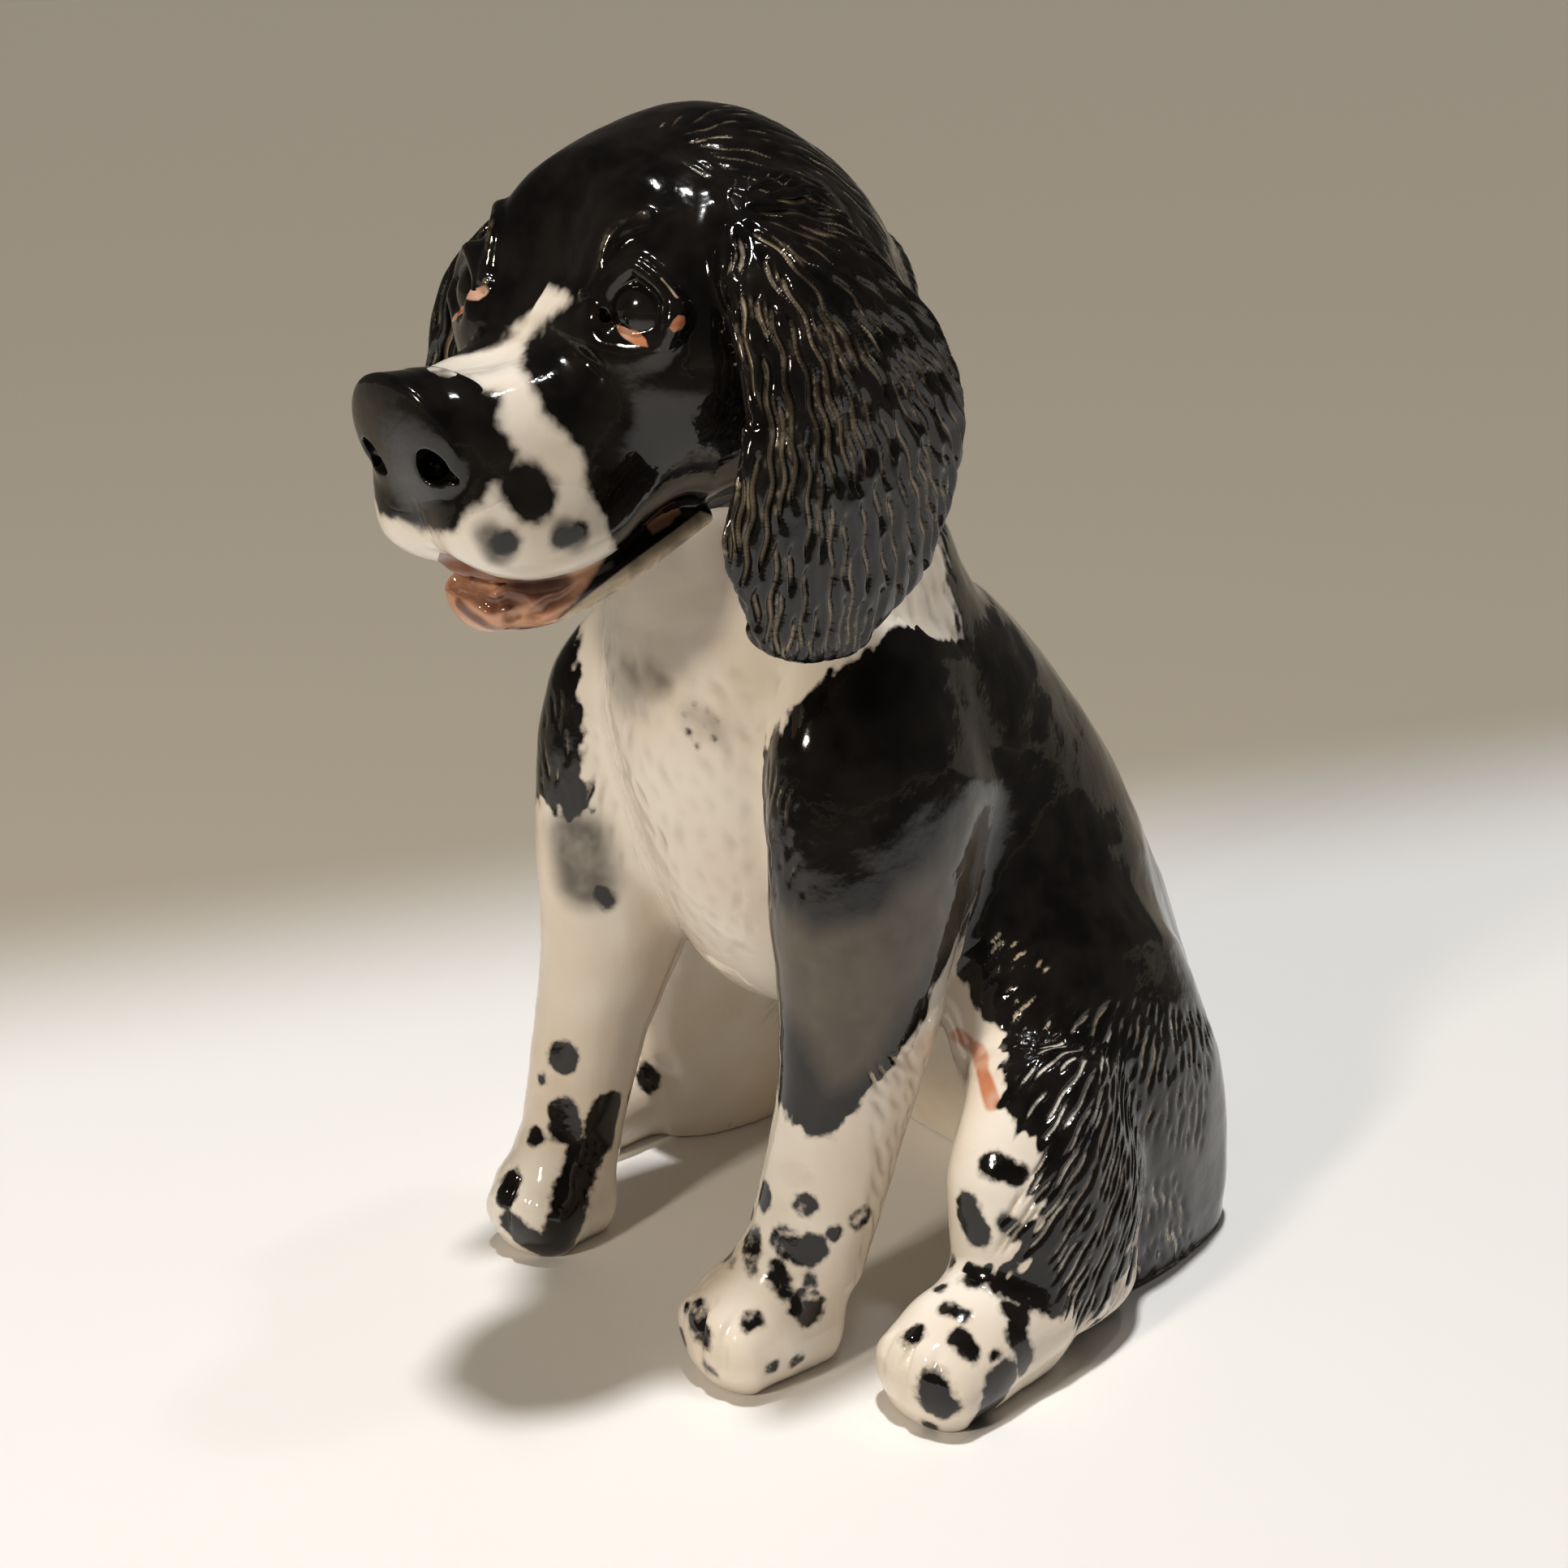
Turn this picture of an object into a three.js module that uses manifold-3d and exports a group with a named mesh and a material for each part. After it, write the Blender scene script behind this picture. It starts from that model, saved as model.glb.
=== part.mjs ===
// Seated spaniel ornament in glazed earthenware, hand-built from separately formed pieces of clay.
// Torso and head are hollow, and every other piece is luted to its neighbour with a film of slip.
// Millimetres, +Z up. The dog looks along -Y, its left side is +X, and it sits on the plane Z = 0.
import * as THREE from "three";
import { mergeVertices } from "three/addons/utils/BufferGeometryUtils.js";
import Module from "manifold-3d";

const wasm = await Module();
wasm.setup();

// Clay walls, joints and openings
const SLIP = 0.3; // film of slip between two luted pieces
const TORSO_WALL = 7;
const HEAD_WALL = 8;
const VENT_RADIUS = 5; // steam vent under the seat
const NECK_PASSAGE_RADIUS = 6; // joins the hollow of the head to the hollow of the torso

// Every form is a row of oval stations along a spine. half is the half width across the spine.
// rise and fall are the half depths on its two other sides: behind and in front of a form that runs
// upward, in front of and behind one that runs downward, above and below one that runs forward.

// Torso, upward from the seat to the top of the neck
const SEAT = { y: 46, z: 1, half: 30, rise: 22, fall: 12 };
const HIPS = { y: 41, z: 22, half: 36, rise: 30, fall: 16 };
const LOIN = { y: 27, z: 48, half: 35, rise: 35, fall: 22 };
const RIBS = { y: 11, z: 70, half: 33, rise: 36, fall: 37 };
const SHOULDERS = { y: -3, z: 92, half: 29, rise: 32, fall: 32 };
const NECK = { y: -8, z: 112, half: 25, rise: 26, fall: 26 };
const NECK_TOP = { y: -11, z: 128, half: 20, rise: 20, fall: 20 };
const TORSO = [SEAT, HIPS, LOIN, RIBS, SHOULDERS, NECK, NECK_TOP];
const SEAT_DOME = 6;
const NECK_DOME = 4;

// Head, forward from the occiput to the end of the muzzle
const OCCIPUT = { y: 6, z: 147, half: 15, rise: 14, fall: 18 };
const NAPE = { y: -6, z: 148, half: 22.5, rise: 24.5, fall: 24 };
const CROWN = { y: -20, z: 148, half: 27, rise: 30, fall: 26 };
const BROW = { y: -33, z: 146, half: 27, rise: 27.5, fall: 24 };
const EYE_LINE = { y: -42, z: 142, half: 25, rise: 17.5, fall: 20 };
const STOP = { y: -49, z: 138.5, half: 18, rise: 14, fall: 17 };
const BRIDGE = { y: -58, z: 137.5, half: 14.5, rise: 12, fall: 14 };
const MUZZLE_END = { y: -68, z: 137, half: 12, rise: 10.5, fall: 11 };
const HEAD = [OCCIPUT, NAPE, CROWN, BROW, EYE_LINE, STOP, BRIDGE, MUZZLE_END];
const OCCIPUT_DOME = 7;
const MUZZLE_DOME = 3;

// Nose pad, measured from the end of the muzzle; its front leans back toward the lip
const NOSE_BACK = { y: 4, z: 4, half: 9.5, rise: 7, fall: 8 };
const NOSE_FRONT = { y: -3.5, z: 1.5, half: 10.5, rise: 10, fall: 9 };
const NOSE = [NOSE_BACK, NOSE_FRONT].map((s) => from(MUZZLE_END, s));
const NOSE_DOME = 2.5;
const NOSTRIL = { x: 7, y: -1.5, z: -1.2 }; // from the front of the nose
const NOSTRIL_RADIUS = 2;

// Flews hanging at the sides of the muzzle, measured from the bridge of the nose
const FLEW = { x: 8, y: 1, z: -10 };
const FLEW_HALF_WIDTH = 7.5;
const FLEW_HALF_LENGTH = 12.5;
const FLEW_HALF_HEIGHT = 7.5;
const FLEW_RADII = [FLEW_HALF_WIDTH, FLEW_HALF_LENGTH, FLEW_HALF_HEIGHT];

// Lower jaw and tongue, measured from the underside of the head below the eyes
const JAW_HINGE = { y: 9, z: 2.5, half: 14, rise: 4, fall: 3.5 };
const JAW_MIDDLE = { y: -3, z: -2.5, half: 12.5, rise: 4, fall: 4.5 };
const JAW_FRONT = { y: -13, z: -5, half: 10, rise: 4, fall: 5.5 };
const CHIN = { y: -19, z: -5, half: 7.5, rise: 3.5, fall: 5 };
const TONGUE_ROOT = { y: 2, z: -1, half: 8, rise: 2.5, fall: 3 };
const TONGUE_MIDDLE = { y: -10, z: -1, half: 8, rise: 2.5, fall: 3 };
const TONGUE_TIP = { y: -20, z: -1, half: 6.5, rise: 2.5, fall: 2.5 };
const PALATE = { y: EYE_LINE.y, z: EYE_LINE.z - EYE_LINE.fall };
const JAW = [JAW_HINGE, JAW_MIDDLE, JAW_FRONT, CHIN].map((s) => from(PALATE, s));
const TONGUE = [TONGUE_ROOT, TONGUE_MIDDLE, TONGUE_TIP].map((s) => from(PALATE, s));
const HINGE_DOME = 3;
const CHIN_DOME = 4;
const TONGUE_DOME = 3;

// Eyes, each with an upper and a lower lid rolled from a thin coil
const EYE = { x: 0.66 * EYE_LINE.half, y: EYE_LINE.y - 2.5, z: EYE_LINE.z + 0.66 * EYE_LINE.rise };
const EYE_RADIUS = 4.8;
const EYE_TURN = 20; // degrees that each eye looks outward
const LID_RADIUS = 1.3;
const LID_REACH = 0.8; // how far the middle of the lid coil stands outside the eyeball
const LID_SPAN = 75; // degrees either side of the middle of the lid
const LID_DROOP = 0.8; // height of the open eye against its width
const UPPER_LID_STEP = 2.6; // how far in front of the middle of the eyeball each lid lies
const LOWER_LID_STEP = 3.6;

// Ear flap, downward from its root, measured from the widest place of the skull
const EAR_ROOT = { x: -7, y: -5, z: 17, half: 9, rise: 4, fall: 5 };
const EAR_UPPER = { x: 3, y: -7, z: 6, half: 15.5, rise: 4.5, fall: 7 };
const EAR_MIDDLE = { x: 8, y: -5, z: -9, half: 19.5, rise: 4, fall: 8 };
const EAR_LOWER = { x: 6.5, y: -9.5, z: -26, half: 20, rise: 4, fall: 4 };
const EAR_TIP = { x: 5, y: -12, z: -36, half: 12, rise: 3.5, fall: 3 };
const TEMPLE = { x: CROWN.half, y: CROWN.y, z: CROWN.z };
const EAR = [EAR_ROOT, EAR_UPPER, EAR_MIDDLE, EAR_LOWER, EAR_TIP].map((s) => from(TEMPLE, s));
const EAR_ROOT_DOME = 4;
const EAR_TIP_DOME = 5;

// Left legs, measured outward from the side of the torso; the right ones are mirror images.
// Limbs run downward, and paws run forward from the end of their limb.
const SHOULDER_BLADE = { x: -8, y: -8, z: 100, half: 8, rise: 15, fall: 17 };
const SHOULDER = { x: -4, y: -14, z: 86, half: 11, rise: 18, fall: 23 };
const UPPER_ARM = { x: -2.5, y: -18, z: 69, half: 11, rise: 15.5, fall: 20 };
const ELBOW = { x: -1.5, y: -21, z: 50, half: 10, rise: 12, fall: 14 };
const FOREARM = { x: -2, y: -25, z: 34, half: 9, rise: 9.5, fall: 11 };
const WRIST = { x: -3.5, y: -30.5, z: 16, half: 8.5, rise: 9, fall: 10 };
const FORELEG = [SHOULDER_BLADE, SHOULDER, UPPER_ARM, ELBOW, FOREARM, WRIST].map((s) => beside(SHOULDERS, s));
const BLADE_DOME = 6;
const WRIST_DOME = 5;
const FORE_HEEL = { x: -0.5, y: 0.5, z: -8, half: 8.5, rise: 8.5, fall: 10 };
const FORE_PAD = { x: -2, y: -7, z: -8, half: 10, rise: 9, fall: 10 };
const FORE_TOES = { x: -3, y: -13.5, z: -9.5, half: 9.5, rise: 7, fall: 9 };
const FOREPAW = [FORE_HEEL, FORE_PAD, FORE_TOES].map((s) => from(FORELEG.at(-1), s));
const HIP = { x: -11, y: 22, z: 62, half: 10, rise: 14, fall: 20 };
const UPPER_THIGH = { x: -5, y: 18, z: 48, half: 15, rise: 20, fall: 26 };
const THIGH = { x: 3, y: 17, z: 30, half: 13, rise: 21, fall: 28 };
const LOWER_THIGH = { x: 6, y: 19, z: 12, half: 9.5, rise: 19, fall: 28 };
const UNDERSIDE = { x: 6.5, y: 19, z: -2, half: 7.5, rise: 17, fall: 27 };
const HAUNCH = [HIP, UPPER_THIGH, THIGH, LOWER_THIGH, UNDERSIDE].map((s) => beside(HIPS, s));
const HIP_DOME = 6;
const UNDERSIDE_DOME = 4;
const KNEE = { x: 8, y: 0, z: 40, half: 10, rise: 10, fall: 14 };
const CALF = { x: 12, y: -4, z: 26, half: 11, rise: 16, fall: 19 };
const HOCK = { x: 13.5, y: -6, z: 10, half: 10.5, rise: 14, fall: 19 };
const SHANK = [KNEE, CALF, HOCK].map((s) => beside(HIPS, s));
const KNEE_DOME = 5;
const HOCK_DOME = 8;
const HIND_HEEL = { x: 0.5, y: -6, z: -2, half: 9, rise: 9, fall: 10 };
const HIND_PAD = { x: 1, y: -17, z: -2, half: 9.5, rise: 9, fall: 10 };
const HIND_TOES = { x: 1, y: -25, z: -3.5, half: 9, rise: 7, fall: 9 };
const HINDPAW = [HIND_HEEL, HIND_PAD, HIND_TOES].map((s) => from(SHANK.at(-1), s));
const HEEL_DOME = 4;
const TOE_DOME = 5;
const RIGHT_HIND_SETBACK = 18; // the right hind foot is tucked further back than the left one

// The right forefoot is slimmer and stands further out than the left one.
const RIGHT_FOREARM = { x: 0.5, y: -25, z: 34, half: 8.5, rise: 9, fall: 10 };
const RIGHT_WRIST = { x: 0.5, y: -30, z: 16, half: 7.5, rise: 8.5, fall: 8.5 };
const RIGHT_FORE_HEEL = { x: -0.5, y: 1, z: -8, half: 8, rise: 8, fall: 10 };
const RIGHT_FORE_PAD = { x: -0.5, y: -5.5, z: -8, half: 9, rise: 8.5, fall: 10 };
const RIGHT_FORE_TOES = { x: -1.5, y: -10, z: -9.5, half: 8.5, rise: 6.5, fall: 9 };
const RIGHT_LOWER_LEG = [RIGHT_FOREARM, RIGHT_WRIST].map((s) => beside(SHOULDERS, s));
const RIGHT_FORELEG = [...FORELEG.slice(0, -2), ...RIGHT_LOWER_LEG];
const RIGHT_TREAD = [RIGHT_FORE_HEEL, RIGHT_FORE_PAD, RIGHT_FORE_TOES];
const RIGHT_FOREPAW = RIGHT_TREAD.map((s) => from(RIGHT_FORELEG.at(-1), s));

// Docked tail lying behind the seat and bent to the dog's right, measured from the seat
const TAIL_ROOT = { x: 0, y: 16, z: 11, half: 8, rise: 8, fall: 8 };
const TAIL_MIDDLE = { x: -5, y: 27, z: 7, half: 6.5, rise: 6.5, fall: 6.5 };
const TAIL_TIP = { x: -13, y: 32, z: 4.5, half: 5, rise: 4.5, fall: 4.5 };
const TAIL = [TAIL_ROOT, TAIL_MIDDLE, TAIL_TIP].map((s) => from(SEAT, s));
const TAIL_DOME = 4;

// Facets: rings along a form and sides around it
const LARGE = { rings: 18, sides: 24 };
const LIMB = { rings: 9, sides: 14 };
const SMALL = { rings: 6, sides: 12 };
const COIL = { rings: 8, sides: 8 };
const DOME_STEPS = 3;

const ACROSS = new THREE.Vector3(1, 0, 0);
const FORE_AND_AFT = new THREE.Vector3(0, 1, 0);

// Station measured from another station, or outward from the side of the torso
function from(base, s) {
  return { ...s, x: (base.x ?? 0) + (s.x ?? 0), y: base.y + s.y, z: base.z + s.z };
}

function beside(flank, s) {
  return { ...s, x: flank.half + s.x };
}

function setBack(stations, distance) {
  return stations.map((s) => ({ ...s, y: s.y + distance }));
}

function point(s) {
  return new THREE.Vector3(s.x ?? 0, s.y, s.z);
}

// Skin through oval stations strung on a smooth spine, closed by a dome at each end.
// grow swells the whole form evenly, for the seat that a neighbour needs.
function loft(stations, { rings, sides }, domes, grow = 0, lateral = ACROSS) {
  const spine = new THREE.CatmullRomCurve3(stations.map(point));
  const girth = new THREE.CatmullRomCurve3(
    stations.map((s) => new THREE.Vector3(s.half, s.rise, s.fall).addScalar(grow)),
  );
  const vertices = [];
  const addRing = (t, shrink, advance) => {
    const tangent = spine.getTangent(t);
    const u = lateral.clone().addScaledVector(tangent, -lateral.dot(tangent)).normalize();
    const v = tangent.clone().cross(u);
    const centre = spine.getPoint(t).addScaledVector(tangent, advance);
    const { x: half, y: rise, z: fall } = girth.getPoint(t);
    for (let k = 0; k < sides; k++) {
      const angle = (2 * Math.PI * k) / sides;
      const lift = Math.sin(angle) * (Math.sin(angle) > 0 ? rise : fall);
      const p = centre.clone().addScaledVector(u, Math.cos(angle) * half * shrink);
      vertices.push(p.addScaledVector(v, lift * shrink));
    }
  };
  const addPole = (t, advance) => {
    vertices.push(spine.getPoint(t).addScaledVector(spine.getTangent(t), advance));
  };
  const [startDome, endDome] = domes.map((d) => d + grow);
  const domeAngle = (step) => (Math.PI * step) / (2 * DOME_STEPS);
  addPole(0, -startDome);
  for (let j = DOME_STEPS - 1; j > 0; j--) {
    addRing(0, Math.cos(domeAngle(j)), -startDome * Math.sin(domeAngle(j)));
  }
  for (let i = 0; i <= rings; i++) addRing(i / rings, 1, 0);
  for (let j = 1; j < DOME_STEPS; j++) {
    addRing(1, Math.cos(domeAngle(j)), endDome * Math.sin(domeAngle(j)));
  }
  addPole(1, endDome);

  const faces = [];
  const last = vertices.length - 1;
  const ringCount = (vertices.length - 2) / sides;
  const at = (ring, k) => 1 + ring * sides + (k % sides);
  for (let k = 0; k < sides; k++) {
    faces.push(0, at(0, k + 1), at(0, k));
    faces.push(last, at(ringCount - 1, k), at(ringCount - 1, k + 1));
    const onLeft = Math.cos((2 * Math.PI * (k + 0.5)) / sides) > 0;
    for (let ring = 0; ring < ringCount - 1; ring++) {
      const [a, b, c, d] = [at(ring, k), at(ring, k + 1), at(ring + 1, k + 1), at(ring + 1, k)];
      // The diagonals of the two sides mirror each other.
      faces.push(...(onLeft ? [a, b, c, a, c, d] : [a, b, d, b, c, d]));
    }
  }
  return solid(new THREE.BufferGeometry().setFromPoints(vertices).setIndex(faces));
}

// Closed three.js geometry as a solid that can be joined and cut
function solid(geometry) {
  const bare = geometry.clone();
  bare.deleteAttribute("normal");
  bare.deleteAttribute("uv");
  const merged = mergeVertices(bare);
  return new wasm.Manifold(
    new wasm.Mesh({
      numProp: 3,
      vertProperties: new Float32Array(merged.attributes.position.array),
      triVerts: new Uint32Array(merged.index.array),
    }),
  );
}

function geometryOf(body) {
  const mesh = body.getMesh();
  const geometry = new THREE.BufferGeometry();
  geometry.setAttribute("position", new THREE.BufferAttribute(mesh.vertProperties, 3));
  geometry.setIndex(new THREE.BufferAttribute(mesh.triVerts, 1));
  geometry.computeVertexNormals();
  return geometry;
}

function ellipsoid(centre, radii, segments) {
  const sphere = new THREE.SphereGeometry(1, segments, segments / 2);
  return solid(sphere.scale(...radii).translate(centre.x ?? 0, centre.y, centre.z));
}

function upright(radius, length, middle) {
  const bore = new THREE.CylinderGeometry(radius, radius, length, 16);
  return solid(bore.rotateX(Math.PI / 2).translate(0, middle.y, middle.z));
}

// Right-hand image of a left-hand solid
function mirrored(body) {
  const geometry = geometryOf(body).scale(-1, 1, 1);
  const order = geometry.index.array;
  for (let i = 0; i < order.length; i += 3) [order[i + 1], order[i + 2]] = [order[i + 2], order[i + 1]];
  return solid(geometry);
}

const bothSides = (body) => [body, mirrored(body)];
const cutFrom = (body, ...cutters) => cutters.reduce((left, cutter) => left.subtract(cutter), body);
const mainPiece = (body) => body.decompose().reduce((a, b) => (a.volume() > b.volume() ? a : b));

// Clay below the table is sliced away, and paired pieces stop short of the median plane.
const REACH = 3 * (CROWN.z + CROWN.rise);
const block = (x, z) => solid(new THREE.BoxGeometry(REACH, REACH, REACH).translate(x, 0, z));
const below = (height) => block(0, height - REACH / 2);
const TABLE = below(0);
const MEDIAN = block((SLIP - REACH) / 2, 0);

// Whole forms before they are cut to fit; grow makes the seat that a neighbour is cut with.
const forms = {
  torso: (grow) => loft(TORSO, LARGE, [SEAT_DOME, NECK_DOME], grow),
  head: (grow) => loft(HEAD, LARGE, [OCCIPUT_DOME, MUZZLE_DOME], grow),
  nose: (grow) => loft(NOSE, SMALL, [0, NOSE_DOME], grow),
  flew: (grow) => ellipsoid(from(BRIDGE, FLEW), FLEW_RADII.map((r) => r + grow), 18),
  jaw: (grow) => loft(JAW, LIMB, [HINGE_DOME, CHIN_DOME], grow),
  tongue: (grow) => loft(TONGUE, SMALL, [TONGUE_DOME, TONGUE_DOME], grow),
  eye: (grow) => ellipsoid(EYE, Array(3).fill(EYE_RADIUS + grow), 16),
  upperLid: (grow) => lid(1, UPPER_LID_STEP, grow),
  lowerLid: (grow) => lid(-1, LOWER_LID_STEP, grow),
  ear: (grow) => loft(EAR, LIMB, [EAR_ROOT_DOME, EAR_TIP_DOME], grow, FORE_AND_AFT),
  haunch: (grow) => loft(HAUNCH, LIMB, [HIP_DOME, UNDERSIDE_DOME], grow),
  tail: (grow) => loft(TAIL, SMALL, [TAIL_DOME, TAIL_DOME], grow),
};
const seat = Object.fromEntries(Object.entries(forms).map(([name, form]) => [name, form(SLIP)]));

// A lid is a coil bent round the eyeball, over it (lift = 1) or under it (lift = -1).
function lid(lift, step, grow) {
  const turn = THREE.MathUtils.degToRad(EYE_TURN);
  const look = new THREE.Vector3(Math.sin(turn), -Math.cos(turn), 0);
  const aside = new THREE.Vector3(Math.cos(turn), Math.sin(turn), 0);
  const reach = EYE_RADIUS + LID_REACH;
  const stations = [];
  for (let i = 0; i <= COIL.rings; i++) {
    const angle = THREE.MathUtils.degToRad(LID_SPAN * ((2 * i) / COIL.rings - 1));
    const p = point(EYE)
      .addScaledVector(look, step)
      .addScaledVector(aside, reach * Math.sin(angle))
      .add(new THREE.Vector3(0, 0, lift * reach * LID_DROOP * Math.cos(angle)));
    stations.push({ x: p.x, y: p.y, z: p.z, half: LID_RADIUS, rise: LID_RADIUS, fall: LID_RADIUS });
  }
  return loft(stations, COIL, [LID_RADIUS, LID_RADIUS], grow, look);
}

const neckPassage = upright(NECK_PASSAGE_RADIUS, 2 * (TORSO_WALL + HEAD_WALL), NECK_TOP);

function torso() {
  const hollow = loft(TORSO, LIMB, [SEAT_DOME, NECK_DOME], -TORSO_WALL).subtract(below(TORSO_WALL));
  const vent = upright(VENT_RADIUS, 4 * TORSO_WALL, SEAT);
  return cutFrom(forms.torso(0), TABLE, hollow, vent, neckPassage);
}

function head() {
  const hollow = ellipsoid(CROWN, Array(3).fill(CROWN.half - HEAD_WALL), 16);
  return cutFrom(forms.head(0), seat.torso, hollow, neckPassage, ...bothSides(seat.eye));
}

function nose() {
  const nostril = ellipsoid(from(NOSE.at(-1), NOSTRIL), Array(3).fill(NOSTRIL_RADIUS), 10);
  return cutFrom(forms.nose(0), seat.head, ...bothSides(nostril));
}

const GLAZE = {
  white: { color: 0xe9e0d0, roughness: 0.18, metalness: 0 },
  black: { color: 0x0d0b0b, roughness: 0.08, metalness: 0 },
  pink: { color: 0xb4735c, roughness: 0.2, metalness: 0 },
  brown: { color: 0x2a1a14, roughness: 0.1, metalness: 0 },
};

const figure = new THREE.Group();

function add(name, glaze, body) {
  const mesh = new THREE.Mesh(geometryOf(mainPiece(body)), new THREE.MeshStandardMaterial(GLAZE[glaze]));
  mesh.name = name;
  figure.add(mesh);
  return mesh;
}

// A piece is shaped for the left side; the right side is its mirror image.
function addSide(side, name, glaze, body) {
  add(`${side}_${name}`, glaze, body).scale.x = side === "left" ? 1 : -1;
}

function addPair(name, glaze, body) {
  for (const side of ["left", "right"]) addSide(side, name, glaze, body);
}

// The legs of one side, with the ear that hangs against the shoulder
function addLegs(side, foreRow, forepawRow, shankRow, hindpawRow) {
  const foreleg = (grow) => loft(foreRow, LIMB, [BLADE_DOME, WRIST_DOME], grow);
  const forepaw = loft(forepawRow, LIMB, [HEEL_DOME, TOE_DOME]);
  const shank = (grow) => loft(shankRow, LIMB, [KNEE_DOME, HOCK_DOME], grow);
  const hindpaw = loft(hindpawRow, LIMB, [HEEL_DOME, TOE_DOME]);
  const foreSeat = foreleg(SLIP);
  addSide(side, "foreleg", "white", cutFrom(foreleg(0), seat.torso, TABLE));
  addSide(side, "ear", "black", cutFrom(forms.ear(0), seat.head, seat.torso, foreSeat));
  addSide(side, "forepaw", "white", cutFrom(forepaw, foreSeat, TABLE));
  addSide(side, "haunch", "black", cutFrom(forms.haunch(0), seat.torso, foreSeat, TABLE));
  addSide(side, "shank", "black", cutFrom(shank(0), seat.haunch, seat.torso, foreSeat, TABLE));
  addSide(side, "hindpaw", "white", cutFrom(hindpaw, shank(SLIP), seat.haunch, TABLE));
}

add("torso", "white", torso());
add("head", "black", head());
add("nose", "black", nose());
addPair("flew", "white", cutFrom(forms.flew(0), seat.head, seat.nose, MEDIAN));
add("lower_jaw", "pink", cutFrom(forms.jaw(0), seat.head, seat.torso, ...bothSides(seat.flew)));
add("tongue", "pink", cutFrom(forms.tongue(0), seat.head, seat.jaw, ...bothSides(seat.flew)));
addPair("eyeball", "brown", forms.eye(0));
addPair("upper_eyelid", "black", cutFrom(forms.upperLid(0), seat.head, seat.eye));
addPair("lower_eyelid", "pink", cutFrom(forms.lowerLid(0), seat.head, seat.eye, seat.upperLid));
addLegs("left", FORELEG, FOREPAW, SHANK, HINDPAW);
addLegs(
  "right",
  RIGHT_FORELEG,
  RIGHT_FOREPAW,
  setBack(SHANK, RIGHT_HIND_SETBACK),
  setBack(HINDPAW, RIGHT_HIND_SETBACK),
);
add("tail", "white", cutFrom(forms.tail(0), seat.torso, ...bothSides(seat.haunch), TABLE));

// The origin is the middle of the footprint, on the table.
const middle = new THREE.Box3().setFromObject(figure).getCenter(new THREE.Vector3());
figure.position.set(-middle.x, -middle.y, 0);

const dog = new THREE.Group();
dog.add(figure);
export default dog;
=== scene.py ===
"""Looks of a seated spaniel ornament: hand-built clay under black, white, pink and brown glaze.

Every form is worked out in millimetres in the dog's own frame (it looks along -Y, its left is +X).
"""
import itertools
import math
from collections import namedtuple

import bpy
import numpy as np
import openvdb
from mathutils import Matrix, Vector
from mathutils.bvhtree import BVHTree
from mathutils.kdtree import KDTree


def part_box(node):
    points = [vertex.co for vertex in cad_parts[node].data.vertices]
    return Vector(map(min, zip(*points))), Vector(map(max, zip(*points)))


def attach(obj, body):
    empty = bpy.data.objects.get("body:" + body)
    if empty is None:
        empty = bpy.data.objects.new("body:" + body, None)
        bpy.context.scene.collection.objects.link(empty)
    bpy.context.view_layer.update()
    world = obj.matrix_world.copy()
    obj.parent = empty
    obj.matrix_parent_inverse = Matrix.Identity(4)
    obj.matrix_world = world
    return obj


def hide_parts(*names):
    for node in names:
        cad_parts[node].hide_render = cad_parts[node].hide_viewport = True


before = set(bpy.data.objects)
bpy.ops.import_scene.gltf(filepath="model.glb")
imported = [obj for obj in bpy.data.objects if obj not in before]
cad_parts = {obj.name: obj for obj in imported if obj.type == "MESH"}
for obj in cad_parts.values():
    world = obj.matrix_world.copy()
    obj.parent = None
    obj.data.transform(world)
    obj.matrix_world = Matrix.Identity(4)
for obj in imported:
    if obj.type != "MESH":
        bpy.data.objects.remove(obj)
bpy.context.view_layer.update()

MM = 0.001
MIRROR = (-1, 1, 1)
QUICK = 1.0  # coarser clay while trying things

# Forms: (x, y, z, half width, rise, fall) stations along a spine
TORSO = [
    (0, 46, 1, 30, 22, 12), (0, 41, 22, 36, 30, 16), (0, 27, 48, 35, 35, 22), (0, 11, 70, 33, 36, 37),
    (0, -3, 92, 29, 32, 32), (0, -8, 112, 25, 26, 26), (0, -11, 128, 20, 20, 20),
]
HEAD = [
    (0, 6, 147, 15, 14, 18), (0, -6, 148, 22.5, 24.5, 24), (0, -20, 148, 27, 30, 26),
    (0, -33, 146, 27, 27.5, 24), (0, -42, 142, 25, 17.5, 20), (0, -49, 138.5, 18, 14, 17),
    (0, -58, 137.5, 14.5, 12, 14), (0, -68, 137, 12, 10.5, 11),
]
NOSE = [(0, -64, 141, 9.5, 7, 8), (0, -71.5, 138.5, 10.5, 10, 9)]
FLEW_CENTRE = (8, -57, 127.5)
FLEW_RADII = (7.5, 12.5, 7.5)
JAW = [
    (0, -33, 124.5, 14, 4, 3.5), (0, -45, 119.5, 12.5, 4, 4.5), (0, -55, 117, 10, 4, 5.5),
    (0, -61, 117, 7.5, 3.5, 5),
]
TONGUE = [(0, -40, 121, 8, 2.5, 3), (0, -52, 121, 8, 2.5, 3), (0, -62, 121, 6.5, 2.5, 2.5)]
EAR = [
    (20, -25, 165, 9, 4, 5), (30, -27, 154, 15.5, 4.5, 7), (35, -25, 139, 19.5, 4, 8),
    (33.5, -29.5, 122, 20, 4, 4), (32, -32, 112, 12, 3.5, 3),
]
UPPER_LEG = [
    (21, -8, 100, 8, 15, 17), (25, -14, 86, 11, 18, 23), (26.5, -18, 69, 11, 15.5, 20),
    (27.5, -21, 50, 10, 12, 14),
]
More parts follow.
